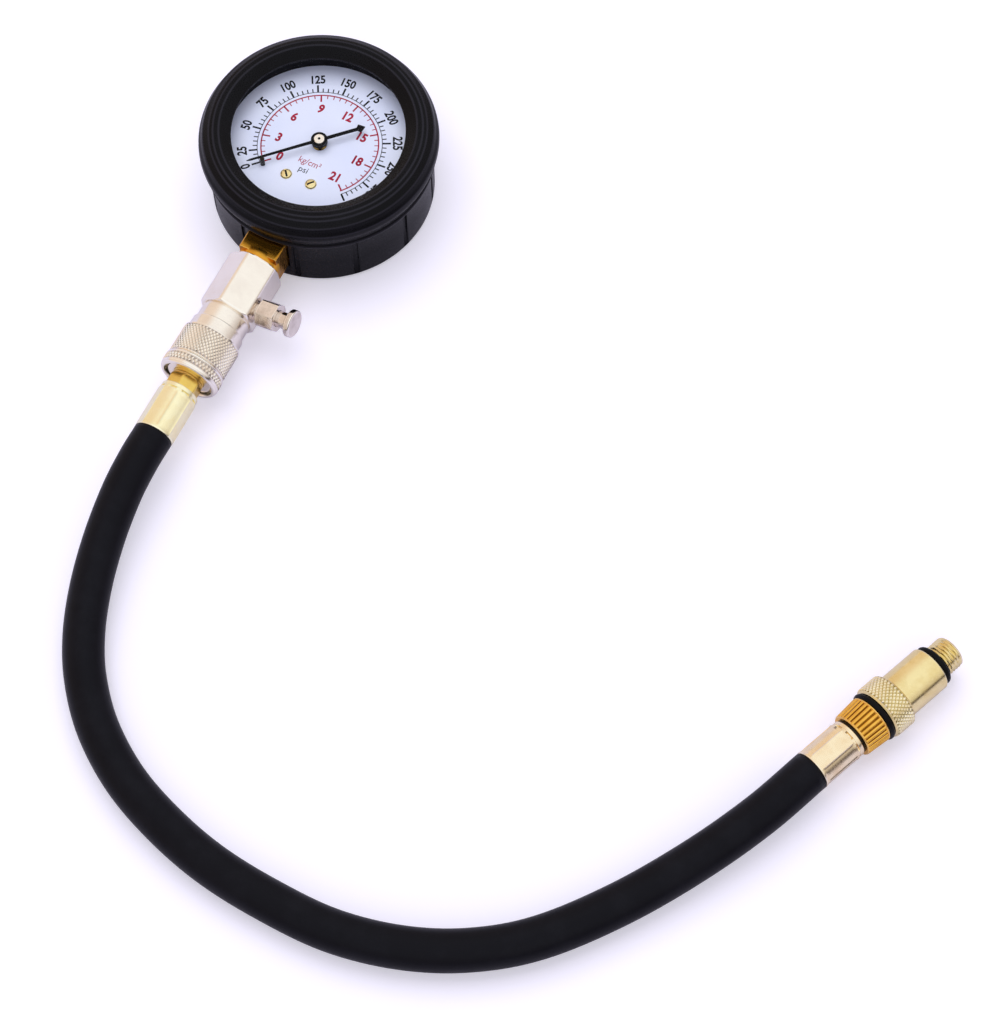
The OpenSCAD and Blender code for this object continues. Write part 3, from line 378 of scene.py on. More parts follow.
left = add(tree, "MapRange", {0: heading.outputs["X"], 1: -0.2, 2: -0.6})
sides = add(tree, "Mix", {0: left, 6: wall, 7: rgb("#f1dfd0")}, data_type="RGBA")
studio = add(tree, "Mix", {0: shade, 6: sides, 7: rgb("#3a302c")}, data_type="RGBA")
seen = add(tree, "Math", {
    0: path.outputs["Is Camera Ray"], 1: path.outputs["Is Transmission Ray"]}, operation="MAXIMUM")
ambient = add(tree, "Background", {"Color": rgb("#f6f4ff"), "Strength": AMBIENT})
mirror = add(tree, "Background", {"Color": studio, "Strength": 1.0})
white = add(tree, "Background", {"Color": rgb("#ffffff"), "Strength": 1.0})
soft = add(tree, "MixShader", {0: path.outputs["Is Glossy Ray"], 1: ambient, 2: mirror})
both = add(tree, "MixShader", {0: seen, 1: soft, 2: white})
add(tree, "OutputWorld", {"Surface": both})
scene.view_settings.view_transform = "Standard"
print("world lights at", AMBIENT, "and is white to the camera")

# %% Floor and lamps
FLOOR_GLOW = 0.32
floor_data = bpy.data.meshes.new("floor")
floor_data.from_pydata([(-3, -3, 0), (3, -3, 0), (3, 3, 0), (-3, 3, 0)], [], [(0, 1, 2, 3)])
floor = linked("floor", floor_data)
paper, tree = new_material("backdrop_paper")
path = add(tree, "LightPath")
lens_ray = add(tree, "Math", {
    0: path.outputs["Is Camera Ray"], 1: path.outputs["Is Transmission Ray"]}, operation="MAXIMUM")
glow = add(tree, "Math", {0: lens_ray, 1: FLOOR_GLOW}, operation="MULTIPLY")
sheet = add(tree, "BsdfPrincipled", {
    "Base Color": rgb("#e6e2f4"), "Roughness": 0.9, "Specular IOR Level": 0.1,
    "Emission Color": rgb("#ffffff"), "Emission Strength": glow})
add(tree, "OutputMaterial", {"Surface": sheet})
floor_data.materials.append(paper)

for name, place, size, power in (
        ("overhead_softbox", (-0.15, 0.15, 0.95), 0.9, 4.9),
        ("front_softbox", (0.45, -0.75, 0.7), 0.6, 1.2)):
    lamp_data = bpy.data.lights.new(name, "AREA")
    lamp_data.size = size
    lamp_data.energy = power
    lamp = linked(name, lamp_data)
    lamp.location = place
    lamp.visible_glossy = False
    aim = Vector((0.08, -0.1, 0)) - lamp.location
    lamp.rotation_euler = aim.to_track_quat("-Z", "Y").to_euler()
    print(name, "at", round(power / (math.pi * aim.length) ** 2, 2), "of a white floor")

# %% [markdown]
# Every finish follows one recipe. A fine noise sets the roughness and raises a shallow bump, a
# slow noise brings in a second tone where dust or tarnish lies, and the edges that the lathe
# marked take a third tone: a worn one on the metals, and on the boot's rubber a worn tone that
# is also a painted highlight. From rubber to brass to enamel only the numbers differ.

# %% Recipe of a surface
def surface(name, tones, fine, slow, share, rough, bump, shader, where="Object",
            stretch=(1, 1, 1), dulls=0.0):
    """Material from two noises; tones are the plain, the second and, at times, the worn one, which
    on the boot is also a painted highlight.
    """
    material, tree = new_material(name)
    coord = add(tree, "TexCoord")
    lay = add(tree, "Mapping", {0: coord.outputs[where], "Scale": stretch})
    grain = add(tree, "TexNoise", {"Vector": lay, **fine})
    patch = add(tree, "TexNoise", {"Vector": coord.outputs["Object"], **slow})
    low, high, most = share
    second = add(tree, "MapRange", {0: patch, 1: low, 2: high, 4: most})
    plain, other, *worn = [rgb(tone) for tone in tones]
    colour = add(tree, "Mix", {0: second, 6: plain, 7: other}, data_type="RGBA")
    # The third tone goes on the marked edges: worn metal, and on the boot worn rubber with a
    # painted highlight.
    if worn:
        edge = add(tree, "Attribute", attribute_name="wear_and_highlight").outputs["Fac"]
        colour = add(tree, "Mix", {0: edge, 6: colour, 7: worn[0]}, data_type="RGBA")
    skin = add(tree, "MapRange", {0: grain, 1: 0.3, 2: 0.7, 3: rough[0], 4: rough[1]})
    if dulls:
        skin = add(tree, "Math", {0: second, 1: dulls, 2: skin}, operation="MULTIPLY_ADD")
    strength, depth = bump
    relief = add(tree, "Bump", {"Height": grain, "Strength": strength, "Distance": depth * MM})
    coat = add(tree, "BsdfPrincipled", {
        "Base Color": colour, "Roughness": skin, "Normal": relief, **shader})
    add(tree, "OutputMaterial", {"Surface": coat})
    print(name, "has", len(tree.nodes), "nodes")
    return material


print("recipe ready")

# %% [markdown]
# Rubber first. The boot is moulded nitrile rubber: almost black, with a satin skin that takes a
# long soft highlight, a very fine grain from the mould and a trace of dust. The grain is drawn
# at 0.35 mm, coarser than life, so that the render shows it. The hose is extruded, so its
# marks run along its length on the UV map, and it is more matt.

# %% Moulded rubber
# The rubbed tone on the boot's ridge edges is partly worn rubber and partly a painted highlight.
DUST_MM, WORN_AND_HIGHLIGHT_RUBBER = 14, "#24232a"


def rubber(name, tone, dusty, rough, grain_mm, stretch, strength):
    """Black rubber; stretch is how much longer than wide its marks are along the UV map."""
    return surface(
        name, (tone, dusty, WORN_AND_HIGHLIGHT_RUBBER),
        {"Scale": 1000 / grain_mm, "Detail": 3.0, "Roughness": 0.6},
        {"Scale": 1000 / DUST_MM, "Detail": 6.0, "Roughness": 0.7}, (0.45, 0.75, 0.55),
        (rough - 0.06, rough + 0.08), (strength, 0.04), {"Specular IOR Level": 0.1},
        "UV" if stretch > 1 else "Object", (1, 1 / stretch, 1))


boot_rubber = rubber("moulded_nitrile_rubber", "#07070b", "#131318", 0.28, 0.35, 1, 0.4)
hose_rubber = rubber("extruded_hose_rubber", "#0b0b12", "#18181f", 0.36, 0.3, 14, 0.6)
seal_rubber = rubber("seal_rubber", "#09090b", "#151518", 0.4, 0.3, 1, 0.3)
gasket_rubber = rubber("gasket_rubber", "#0c0c10", "#18181c", 0.5, 0.4, 1, 0.3)

# %% [markdown]
# Every metal piece here was turned on a lathe or drawn as a bar, then plated or left as brass.
# The tool leaves fine rings round the axis, so the fine noise varies along the second UV
# direction only. The slow noise is tarnish, and the worn edges come out brighter. Brass with
# more zinc is paler, so the same numbers with other tones give all the alloys.

# %% Turned metals
RING_MM = 0.12


def metal(name, tone, tarnish, bright, rough, patch_mm=5.0):
    """Turned metal: tone, its tarnished tone and its tone on worn edges."""
    return surface(
        name, (tone, tarnish, bright), {"Scale": 1000 / RING_MM, "Detail": 2.0, "Roughness": 0.7},
        {"Scale": 1000 / patch_mm, "Detail": 5.0, "Roughness": 0.65}, (0.42, 0.72, 0.8),
        (rough - 0.05, rough + 0.07), (0.5, 0.01), {"Metallic": 1.0}, "UV", (0.02, 1, 1), 0.08)


nickel = metal("nickel_plated_brass", "#faf3e8", "#efe5da", "#fffdf8", 0.15, patch_mm=9.0)
stem_brass = metal("lacquered_stem_brass", "#e4a63a", "#d29430", "#f6cf74", 0.2, patch_mm=25.0)
near_brass = metal("pale_ferrule_brass", "#fff8d0", "#fdefba", "#fffce6", 0.18)
far_brass = metal("rosy_ferrule_brass", "#fbeac6", "#f2d6aa", "#fdf5e2", 0.18)
plug_brass = metal("yellow_plug_brass", "#edcb6c", "#d5a84a", "#f8e09c", 0.2)
flute_brass = metal("gilded_ring_brass", "#f6c055", "#e3a53d", "#fddc98", 0.2)
adapter_brass = metal("pale_adapter_brass", "#f5e4ac", "#e8cf8c", "#fcf3d2", 0.18)
knurl_brass = metal("knurled_collar_brass", "#faf0d0", "#eddfb4", "#fefae8", 0.2)
# Dark brass painted as shade on the floor between the flutes.
flute_root_shade = metal("brass_painted_dark_as_shade_between_flutes", "#8a5a18", "#63400f", "#b5853c", 0.3)
movement_brass = metal("watch_brass", "#d0b06a", "#a98a48", "#e6cf94", 0.28)
tube_bronze = metal("drawn_phosphor_bronze", "#bd8f4c", "#96692f", "#d8b071", 0.3)
valve_nickel = metal("valve_nickel_plate", "#ebe1d9", "#c4b7ae", "#fdf9f4", 0.09)
# These two darker tones are painted shade on the floors of the knurl grooves.
groove_shade_nickel = metal("nickel_with_painted_groove_shade", "#c0b5ad", "#9c928b", "#cfc6c0", 0.34)
groove_shade_brass = metal("brass_with_painted_groove_shade", "#b7a264", "#907d46", "#c9b679", 0.34)
steel = metal("bright_steel", "#c9c9ce", "#a3a3a9", "#e4e4e8", 0.2)
dark_steel = metal("blued_spring_steel", "#33322f", "#232220", "#4c4a46", 0.32)
case_steel = metal("black_oxide_steel", "#2b2b2f", "#1e1e21", "#3c3c41", 0.45)

# %% [markdown]
# The dial plate is aluminium with a baked white enamel that leans to lavender. Enamel has a faint
# orange-peel surface, and its tone is never quite even. The inks sit on it as thin films; they
# are matt, and a fine noise breaks up their edges' tone. The pointer is lacquered black.

# %% Enamel, inks and lacquer
CLOUD_MM = 18


def coating(name, tone, second, rough, cell_mm, peel, gloss):
    """Paint, ink or enamel: two close tones in fine cells, with an orange-peel bump."""
    return surface(
        name, (tone, second), {"Scale": 1000 / cell_mm, "Detail": 4.0},
        {"Scale": 1000 / CLOUD_MM, "Detail": 2.0}, (0.35, 0.65, 1.0),
        (rough - 0.05, rough + 0.05), (peel, 0.02), {"Specular IOR Level": gloss})


enamel = coating("baked_white_enamel", "#e6ecff", "#e0e7fe", 0.32, 1.2, 0.15, 0.3)
black_ink = coating("black_dial_ink", "#111117", "#191920", 0.55, 0.3, 0.2, 0.2)
red_ink = coating("red_dial_ink", "#a81f3c", "#951a34", 0.55, 0.3, 0.2, 0.2)
lacquer = coating("black_pointer_lacquer", "#08080b", "#0d0d11", 0.4, 1.5, 0.05, 0.12)

# %% [markdown]
# The lens is clear acrylic. Seen from above it is nearly invisible, and at a low angle it mirrors
# more. The Facing output of the Layer Weight node gives that on both faces of the sheet; a
# Fresnel node would turn the lower face into a black mirror, because the sheet doesn't bend
# the rays. A see-through shader is mixed with a glossy one, and that pair exports as glass.

# %% Clear lens
HAZE_MM = 9
lens_clear, tree = new_material("clear_acrylic")
coord = add(tree, "TexCoord")
haze = add(tree, "TexNoise", {
    "Vector": coord.outputs["Object"], "Scale": 1000 / HAZE_MM, "Detail": 4.0})
polish = add(tree, "MapRange", {0: haze, 1: 0.35, 2: 0.65, 3: 0.03, 4: 0.09})
facing = add(tree, "LayerWeight", {"Blend": 0.5})
mirror_share = add(tree, "Math", {0: facing.outputs["Facing"], 1: 4.0}, operation="POWER")
gloss = add(tree, "BsdfPrincipled", {
    "Base Color": rgb("#f4f6ff"), "Metallic": 1.0, "Roughness": polish})
through = add(tree, "BsdfTransparent", {"Color": rgb("#ffffff")})
lens_mix = add(tree, "MixShader", {0: mirror_share, 1: through, 2: gloss})
add(tree, "OutputMaterial", {"Surface": lens_mix})
print("lens mixes", through.name, "and a glossy shader")

# %% [markdown]
# A finished piece gets its finish, rides a body, and stands in for its CAD node. That is the same
# for every piece, so one short function does it. CAD nodes whose shape is right keep
# their mesh and only change their finish.

# %% Dressing a piece
def dress(piece, material, body, slot, *replaced):
    if material not in list(piece.data.materials):
        piece.data.materials.append(material)
    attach(piece, body)
    if replaced:
        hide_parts(*replaced)
    print(piece.name, "rides", body, "with", len(piece.data.polygons), "faces")


def refinish(material, *names):
    for name in names:
        nodes[name].data.materials.clear()
        nodes[name].data.materials.append(material)
    print(material.name, "on", ", ".join(names))


refinish(case_steel, "gauge_case")
refinish(lens_clear, "lens")
refinish(gasket_rubber, "lens_gasket")
refinish(enamel, "dial_plate")
refinish(adapter_brass, "dial_screws")
refinish(nickel, "pointer_cap")
refinish(steel, "movement_screws", "locking_balls", "check_valve_pin")
refinish(lacquer, "pointer")
refinish(movement_brass, "dial_spacers", "sector_gear", "movement_back_plate",
         "movement_front_plate", "movement_pillars", "tube_tip", "link", "check_valve_core")
refinish(tube_bronze, "pressure_tube", "hairspring")
# The pinion arbor is dark steel, which also paints the shade under the pointer hub.
refinish(dark_steel, "stop_pin", "pinion_arbor", "retaining_ring")
refinish(seal_rubber, "coupler_seal", "bleed_seal", "check_valve_seal")

# %% [markdown]
# The boot is one rubber moulding: a cup for the case with twelve shallow grooves round its side,
# a bead, and a thick ring with three soft ridges whose inner slope runs down to the window. It
# is a lathe shape, with the grooves pressed into the side by the shape function, and closely
# spaced angles at each groove's walls keep them crisp. The hole for the stem is cut last, with
# a Boolean against a box a little wider than the stem.

# %% Boot
BODY_R = 34.45
GROOVES, GROOVE_W, GROOVE_DEPTH = 12, 1.8, 0.5
GROOVE_PART = math.tau / GROOVES
GROOVE_LOW, GROOVE_HIGH, GROOVE_END = 1.4, 19.38, 0.3
GROOVE_WALL = 0.15
STEM_SIDE = math.radians(-90)


def boot_grooves(a, s, r):
    off = abs((a - STEM_SIDE) % GROOVE_PART - GROOVE_PART / 2) * BODY_R
    wall = min(1.0, max(0.0, (GROOVE_W / 2 - off) / GROOVE_WALL))
    foot = min(1.0, max(0.0, (s - GROOVE_LOW) / GROOVE_END))
    inside = s < GROOVE_HIGH + 0.01 and r > BODY_R - 0.3
    return r - GROOVE_DEPTH * wall * foot if inside else r


def boot_angles():
    """Angles round the boot, close together at the walls of the grooves."""
    marks = []
    for g in range(GROOVES):
        centre = STEM_SIDE + (g + 0.5) * GROOVE_PART
        marks += [centre + x / BODY_R for x in (-0.9, -0.75, -0.4, 0, 0.4, 0.75, 0.9)]
        marks += [centre + GROOVE_PART * (0.08 + 0.84 * k / 12) for k in range(13)]
    return sorted(a % math.tau for a in marks)


boot_outline = (
    [(0, 0), (0, 22), (0.35, 22.4), (0.35, 23.6), (0, 24)]
    + arc(1.5, 32.95, 1.5, 1.5, -90, 0, 6)
    + [(10, BODY_R), (GROOVE_HIGH, BODY_R)]
    + arc(20.45, 34.5, 1.05, 1.05, -80, 45, 7)
    + [(21.5, 35.05)]
    + arc(26, 30.85, 3.9, 5.6, -25, 0, 4)
    + [(27.35, 36.31), (28.6, 35.5), (30.0, 34.95), (30.7, 33.85), (31.45, 32.95), (31.9, 31.6),
       (31.95, 29.8), (31.2, 28.6), (30.1, 27.0), (29.65, 26.3), (29.05, 26.3), (29.05, 32.05),
       (2.15, 32.05), (2.15, 0)])
boot = turned("moulded_boot", DIAL, boot_outline, 0.45, boot_angles(), boot_grooves)


def cut_box(piece, low, high):
    """Cut a box, given by two corners in mm, out of a piece and keep the plain mesh."""
    corners = [(x, y, z) for x in (low[0], high[0]) for y in (low[1], high[1])
               for z in (low[2], high[2])]
    sides = [(0, 1, 3, 2), (4, 6, 7, 5), (0, 4, 5, 1), (2, 3, 7, 6), (0, 2, 6, 4), (1, 5, 7, 3)]
    data = bpy.data.meshes.new("cutter")
    data.from_pydata([Vector(c) * MM for c in corners], [], sides)
    cutter = linked("cutter", data)
    cut = piece.modifiers.new("cut", "BOOLEAN")
    cut.operation = "DIFFERENCE"
    cut.solver = "EXACT"
    cut.object = cutter
    plain = evaluated_mesh(piece)
    piece.modifiers.clear()
    piece.data = plain
    bpy.data.objects.remove(cutter)
    plain.set_sharp_from_angle(angle=SHARP)


cut_box(boot, (-6.6, -38, 6.4), (6.6, -24, 19.6))
dress(boot, boot_rubber, "gauge", "boot_rubber", "rubber_boot")

# %% [markdown]
# The dial carries two scales: black on the outside in psi with a mark every 5 and a longer one
# every 25, red on the inside in kg/cm2 with a mark every half and a longer one every 3. The
# pin stops the pointer a little above true zero, so the first stretch of both is shorter.
# A mark is one small bar and the scale repeats it at even angles, which is what Geometry Nodes
# are good at: points on an arc, a bar on each point, some longer. Knurls and flutes are set
# round an axis in the same way, so two functions begin and end every tree.

# %% Trees that set copies round an axis
def new_tree(name, whole, sizes):
    """Geometry tree with these named inputs and a finish; return it and its input sockets."""
    tree = bpy.data.node_groups.new(name, "GeometryNodeTree")
    for kind, names in (("Int", whole), ("Float", sizes), ("Material", "Finish")):
        for each in names.split(", "):
            tree.interface.new_socket(each, in_out="INPUT", socket_type="NodeSocket" + kind)
    tree.interface.new_socket("Geometry", in_out="OUTPUT", socket_type="NodeSocketGeometry")
    return tree, add(tree, "NodeGroupInput").outputs


def set_round(tree, size, count, angle, height, copy, turn, scale):
    """End a tree: turned and scaled copies at these angles round Z, with their finish."""
    start = add(tree, "CombineXYZ", {"X": size["Radius"], "Z": height})
    place = add(tree, "VectorRotate", {"Vector": start, "Angle": angle}, rotation_type="Z_AXIS")
    points = add(tree, "GeometryNodePoints", {"Count": count, "Position": place})
    copies = add(tree, "GeometryNodeInstanceOnPoints", {
        "Points": points, "Instance": copy, "Rotation": turn, "Scale": scale})
    real = add(tree, "GeometryNodeRealizeInstances", {"Geometry": copies})
    done = add(tree, "GeometryNodeSetMaterial", {"Geometry": real, "Material": size["Finish"]})
    add(tree, "NodeGroupOutput", {"Geometry": done})
    print("tree", tree.name, "has", len(tree.nodes), "nodes")
    return tree


def grown(name, tree, sizes, place=None):
    """Run a geometry tree with these inputs and keep its result as a plain mesh object."""
    piece = linked(name, bpy.data.meshes.new(name))
    modifier = piece.modifiers.new(tree.name, "NODES")
    modifier.node_group = tree
    for item in tree.interface.items_tree:
        if item.in_out == "INPUT" and item.name in sizes:
            modifier[item.identifier] = sizes[item.name]
    data = evaluated_mesh(piece)
    piece.modifiers.clear()
    piece.data = data
    if place:
        data.transform(place)
    print(name, "grew", len(data.polygons), "faces")
    return piece


print("trees can begin, end and grow")


# %% Scale marks as a node tree
def marks_tree():
    tree, size = new_tree("scale_marks", "Count, Long Every, Ahead",
                          "Start, Step, Radius, Height, Short, Long, Width, Long Width, Film")
    index = add(tree, "GeometryNodeInputIndex")
    angle = add(tree, "Math", {
        0: index, 1: size["Step"], 2: size["Start"]}, operation="MULTIPLY_ADD")
    ahead = add(tree, "Math", {0: index, 1: size["Ahead"]}, operation="ADD")
    over = add(tree, "Math", {0: ahead, 1: size["Long Every"]}, operation="MODULO")
    is_long = add(tree, "Math", {0: over, 1: 0.5}, operation="LESS_THAN")
    length = add(tree, "Mix", {0: is_long, 2: size["Short"], 3: size["Long"]})
    width = add(tree, "Mix", {0: is_long, 2: size["Width"], 3: size["Long Width"]})
    bar = add(tree, "GeometryNodeMeshCube", {"Size": (1, 1, 1)})
    pushed = add(tree, "GeometryNodeTransform", {"Geometry": bar, "Translation": (0.5, 0, 0.5)})
    turn = add(tree, "CombineXYZ", {"Z": angle})
    scale = add(tree, "CombineXYZ", {"X": length, "Y": width, "Z": size["Film"]})
    return set_round(tree, size, size["Count"], angle, size["Height"], pushed, turn, scale)


marks = marks_tree()

# %% Marks of the dial
DIAL_TOP = 22.4
FILM = 0.02
ZERO = math.radians(225.6)
PSI_STEP = math.radians(4.62)
KG_STEP = math.radians(6.55)
PSI_25 = math.radians(211.74)
KG_3 = math.radians(194.8)
PSI_R, KG_R = 19.0, 17.86


def scale_marks(name, count, start, step, every, ahead, inner, short, long, thin, thick, ink):
    """Even marks, and one long mark for zero where the pointer rests on its pin."""
    for part, marks_in_it, begin, rule in (("marks", count, start, every), ("zero", 1, ZERO, 1)):
        piece = grown(name + "_" + part, marks, {
            "Count": marks_in_it, "Start": begin, "Step": -step, "Radius": inner * MM,
            "Long Every": rule, "Ahead": ahead, "Short": short * MM, "Long": long * MM,
            "Width": thin * MM, "Long Width": thick * MM, "Film": FILM * MM,
            "Height": DIAL_TOP * MM, "Finish": ink})
        dress(piece, ink, "gauge", "dial_enamel")


scale_marks("psi", 58, PSI_25 + 2 * PSI_STEP, PSI_STEP, 5, 3, PSI_R, 1.35, 2.6, 0.34, 0.58,
            black_ink)
scale_marks("kg", 41, KG_3 + 4 * KG_STEP, KG_STEP, 6, 2, KG_R, -1.25, -2.4, 0.28, 0.5, red_ink)


# %% Rings of the dial
SWEEP = ZERO - PSI_25 + 55 * PSI_STEP
RING_STEPS = 120


def scale_ring(name, radius, width, ink):
    """Thin printed band along the scale, from zero to its last mark."""
    mesh = bmesh.new()
    inner, outer, top = radius - width / 2, radius + width / 2, DIAL_TOP + FILM
    rows = []
    for k in range(RING_STEPS + 1):
        a = ZERO - SWEEP * k / RING_STEPS
        rows.append([mesh.verts.new(Vector((r * math.cos(a), r * math.sin(a), z)) * MM)
                     for r, z in ((inner, DIAL_TOP), (outer, DIAL_TOP),
                                  (outer, top), (inner, top))])
    for low, high in zip(rows, rows[1:]):
        for k in range(4):
            mesh.faces.new((low[k], low[(k + 1) % 4], high[(k + 1) % 4], high[k]))
    mesh.faces.new(rows[0])
    mesh.faces.new(rows[-1])
    dress(as_object(name, mesh), ink, "gauge", "dial_enamel")


scale_ring("psi_ring", PSI_R, 0.2, black_ink)
scale_ring("kg_ring", KG_R, 0.4, red_ink)

# %% [markdown]
# The numbers are printed with the same inks. Blender's text objects give the figures; each is
# made a mesh, narrowed as on the dial, and set in its place. The black figures stand with their
# feet to the centre, and the red ones stand upright.

# %% Figures of the dial
CAPITAL = 0.7  # height of a figure at text size 1
PSI_FIGURES_R, KG_FIGURES_R = 23.5, 12.8


def figures(name, labels, ink):
    """One mesh of labels: text, height and place in mm, turn, boldness and narrowness."""
    mesh = bmesh.new()
    for text, height, x, y, turn, bold, narrow in labels:
        curve = bpy.data.curves.new("label", "FONT")
        curve.body = text
        curve.align_x = "CENTER"
        curve.align_y = "CENTER"
        curve.resolution_u = 3
        curve.offset = bold
        curve.extrude = 0.5
        label = linked("label", curve)
        bpy.context.view_layer.update()
        data = evaluated_mesh(label)
        size = height / CAPITAL
        data.transform(Matrix.Translation(Vector((x, y, DIAL_TOP + FILM / 2)) * MM)
                       @ Matrix.Rotation(turn, 4, "Z")
                       @ Matrix.Diagonal((narrow * size * MM, size * MM, FILM * MM, 1)))
        mesh.from_mesh(data)
        bpy.data.objects.remove(label)
    dress(as_object(name, mesh, False), ink, "gauge", "dial_enamel")


psi_labels = [("psi", 2.0, -0.2, -10.2, 0.0, 0.0, 1.0)]
for k in range(13):
    a = PSI_25 - PSI_STEP * 5 * (k - 1) if k else ZERO
    psi_labels.append((str(25 * k), 2.8, PSI_FIGURES_R * math.cos(a),
                       PSI_FIGURES_R * math.sin(a), a - math.pi / 2, 0.03, 0.82))
kg_labels = [("kg/cm²", 2.1, 0.4, -7.2, 0.0, 0.0, 0.92)]
for k in range(8):
    a = KG_3 - KG_STEP * 6 * (k - 1) if k else ZERO
    kg_labels.append((str(3 * k), 2.9, KG_FIGURES_R * math.cos(a), KG_FIGURES_R * math.sin(a),
                      0.0, 0.04, 0.86))
figures("psi_figures", psi_labels, black_ink)
figures("kg_figures", kg_labels, red_ink)

# %% [markdown]
# Three small dark spots on the dial are painted shade: at the end of the staff in its hole in
# the cap, and in the slots of the two screws. Each is a thin chip of dark steel set on its
# place, because a colour painted on the CAD mesh would need its own UV map.

# %% Dark spots of painted shade
def spot(name, x, y, low, high, radius, body, slot):
    axis = axis_frame((x, y, 0), (0, 0, 1), (1, 0, 0))
    piece = turned(name, axis, [(low, 0), (low, radius), (high, radius), (high, 0)], 0.04, 32)
    dress(piece, dark_steel, body, slot)


# Chips of dark steel as painted shade in the cap's hole and in the screw slots.
spot("staff_end_shade", 0, 0, 25.45, 25.62, 0.42, "pointer", "cap_steel")
for name, x in (("left_slot_shade", -4.2), ("right_slot_shade", 4.2)):
    spot(name, x, -13.8, DIAL_TOP + 0.4, DIAL_TOP + 0.52, 1.2, "gauge", "screw_brass")

# %% [markdown]
# The stem is a square brass bar with a turned collar against the coupler. A square bar is a round
# one with four flats, so the lathe makes it with its corners taken off. The part inside
# the case is a plain block that carries the movement and the pressure tube.

# %% Stem
STEM_W = 12.4
ROOT_DOWN, ROOT_UP = 1.5, 9.9


def square_angles(*offsets):
    """Angles near the four corners of a square, at these offsets in degrees."""
    return [math.radians(45 + 90 * q + d) for q in range(4) for d in offsets]


def root_block(a, s, r):
    """Shape function: the block in the case, as wide as the stem and cut low on one side."""
    reach = ROOT_DOWN if math.sin(a) > 0 else ROOT_UP
    return min(r, STEM_W / 2 / max(abs(math.cos(a)), 1e-6), reach / max(abs(math.sin(a)), 1e-6))


stem_bar = turned(
    "square_stem", STEM, [(21.5, 1.5), (21.5, 9), (40.4, 9), (40.4, 1.5)], 0.25,
    square_angles(-45, -30, -15, -4, -3, -2, -1, 0, 1, 2, 3, 4, 15, 30), flats(4, STEM_W, 0.0, 8.5))
stem_neck = turned("stem_collar", STEM, [
    (39, 1.5), (39, 6.9), (42.35, 6.9), (42.35, 4.9), (49.9, 4.9), (49.9, 1.5)], 0.25)
stem_root = turned("stem_root", STEM, [(8, 0.5), (8, 9), (28.8, 9), (28.8, 0.5)], 0.2,
                   square_angles(-30, -15, -3, -1, 1, 3, 15, 30), root_block)
dress(stem_bar, stem_brass, "gauge", "stem_brass", "stem_block")
for piece in (stem_neck, stem_root):
    dress(piece, stem_brass, "gauge", "stem_brass")

# %% [markdown]
# The coupler body is a nickel-plated hexagon bar, turned down to a round neck and to a nose that
# runs inside the sleeve. Flats pressed into the lathe shape leave the curved chamfers of a
# real hexagon at both ends by themselves.

# %% Coupler body
HEX_AF = 16
HEX_CORNER = HEX_AF / 2 / math.cos(math.radians(30))
dress(turned("coupler_hexagon", STEM, [
    (42.4, 5), (42.4, HEX_CORNER - 0.9), (42.94, HEX_CORNER), (60.26, HEX_CORNER),
    (60.8, HEX_CORNER - 0.9), (60.8, 7.2), (61.3, 7.2), (61.3, 7.7), (69.5, 7.7), (69.5, 6.2),
    (82.4, 6.2), (82.8, 7.0), (83.9, 7.0), (83.9, 5)], 0.15, 144,
    flats(6, HEX_AF, HEX_TURN, HEX_CORNER - 0.22, high=60.9), 0.6),
    nickel, "gauge", "nickel", "coupler_body")

# %% [markdown]
# The sleeve slides back on the neck. Its grip is a diamond knurl: two sets of crossing grooves
# leave rows of small pyramids. One pyramid is a four-sided cone, and a node tree sets it in
# staggered rows round the sleeve with a narrow groove between them, whose floor is painted a
# darker tone as shade. The end ring and the collar of the far adapter use the same tree.

# %% Knurl as a node tree
def knurl_tree():
    tree, size = new_tree("diamond_knurl", "Around, Rows", "Radius, Start, Row Step, Rise")
    index = add(tree, "GeometryNodeInputIndex")
    ratio = add(tree, "Math", {0: index, 1: size["Around"]}, operation="DIVIDE")
    row = add(tree, "Math", {0: ratio}, operation="FLOOR")
    odd = add(tree, "Math", {0: row, 1: 2.0}, operation="MODULO")
    shift = add(tree, "Math", {0: odd, 1: 0.5, 2: index}, operation="MULTIPLY_ADD")
    part = add(tree, "Math", {0: math.tau, 1: size["Around"]}, operation="DIVIDE")
    angle = add(tree, "Math", {0: shift, 1: part}, operation="MULTIPLY")
    along = add(tree, "Math", {
        0: row, 1: size["Row Step"], 2: size["Start"]}, operation="MULTIPLY_ADD")
    total = add(tree, "Math", {0: size["Around"], 1: size["Rows"]}, operation="MULTIPLY")
    pyramid = add(tree, "GeometryNodeMeshCone", {
        "Vertices": 4, "Radius Top": 0.45, "Radius Bottom": 0.96, "Depth": 1.0})
    quarter = add(tree, "Math", {0: angle, 1: math.pi / 2}, operation="ADD")
    turn = add(tree, "CombineXYZ", {"X": math.pi / 2, "Z": quarter})
    wide = add(tree, "Math", {0: part, 1: size["Radius"]}, operation="MULTIPLY")
    half = add(tree, "Math", {0: wide, 1: 0.5}, operation="MULTIPLY")
    scale = add(tree, "CombineXYZ", {"X": half, "Y": size["Row Step"], "Z": size["Rise"]})
    return set_round(tree, size, total, angle, along, pyramid, turn, scale)


def placed(axis):
    """Matrix that takes a mesh made along Z into the frame of an axis."""
    origin, along, side, third = axis
    turn = Matrix((side, third, along)).transposed().to_4x4()
    return Matrix.Translation(origin * MM) @ turn


knurl = knurl_tree()
KNURL_RISE = 0.3
SUNK = 0.03  # mm that the pyramids reach into the metal below them


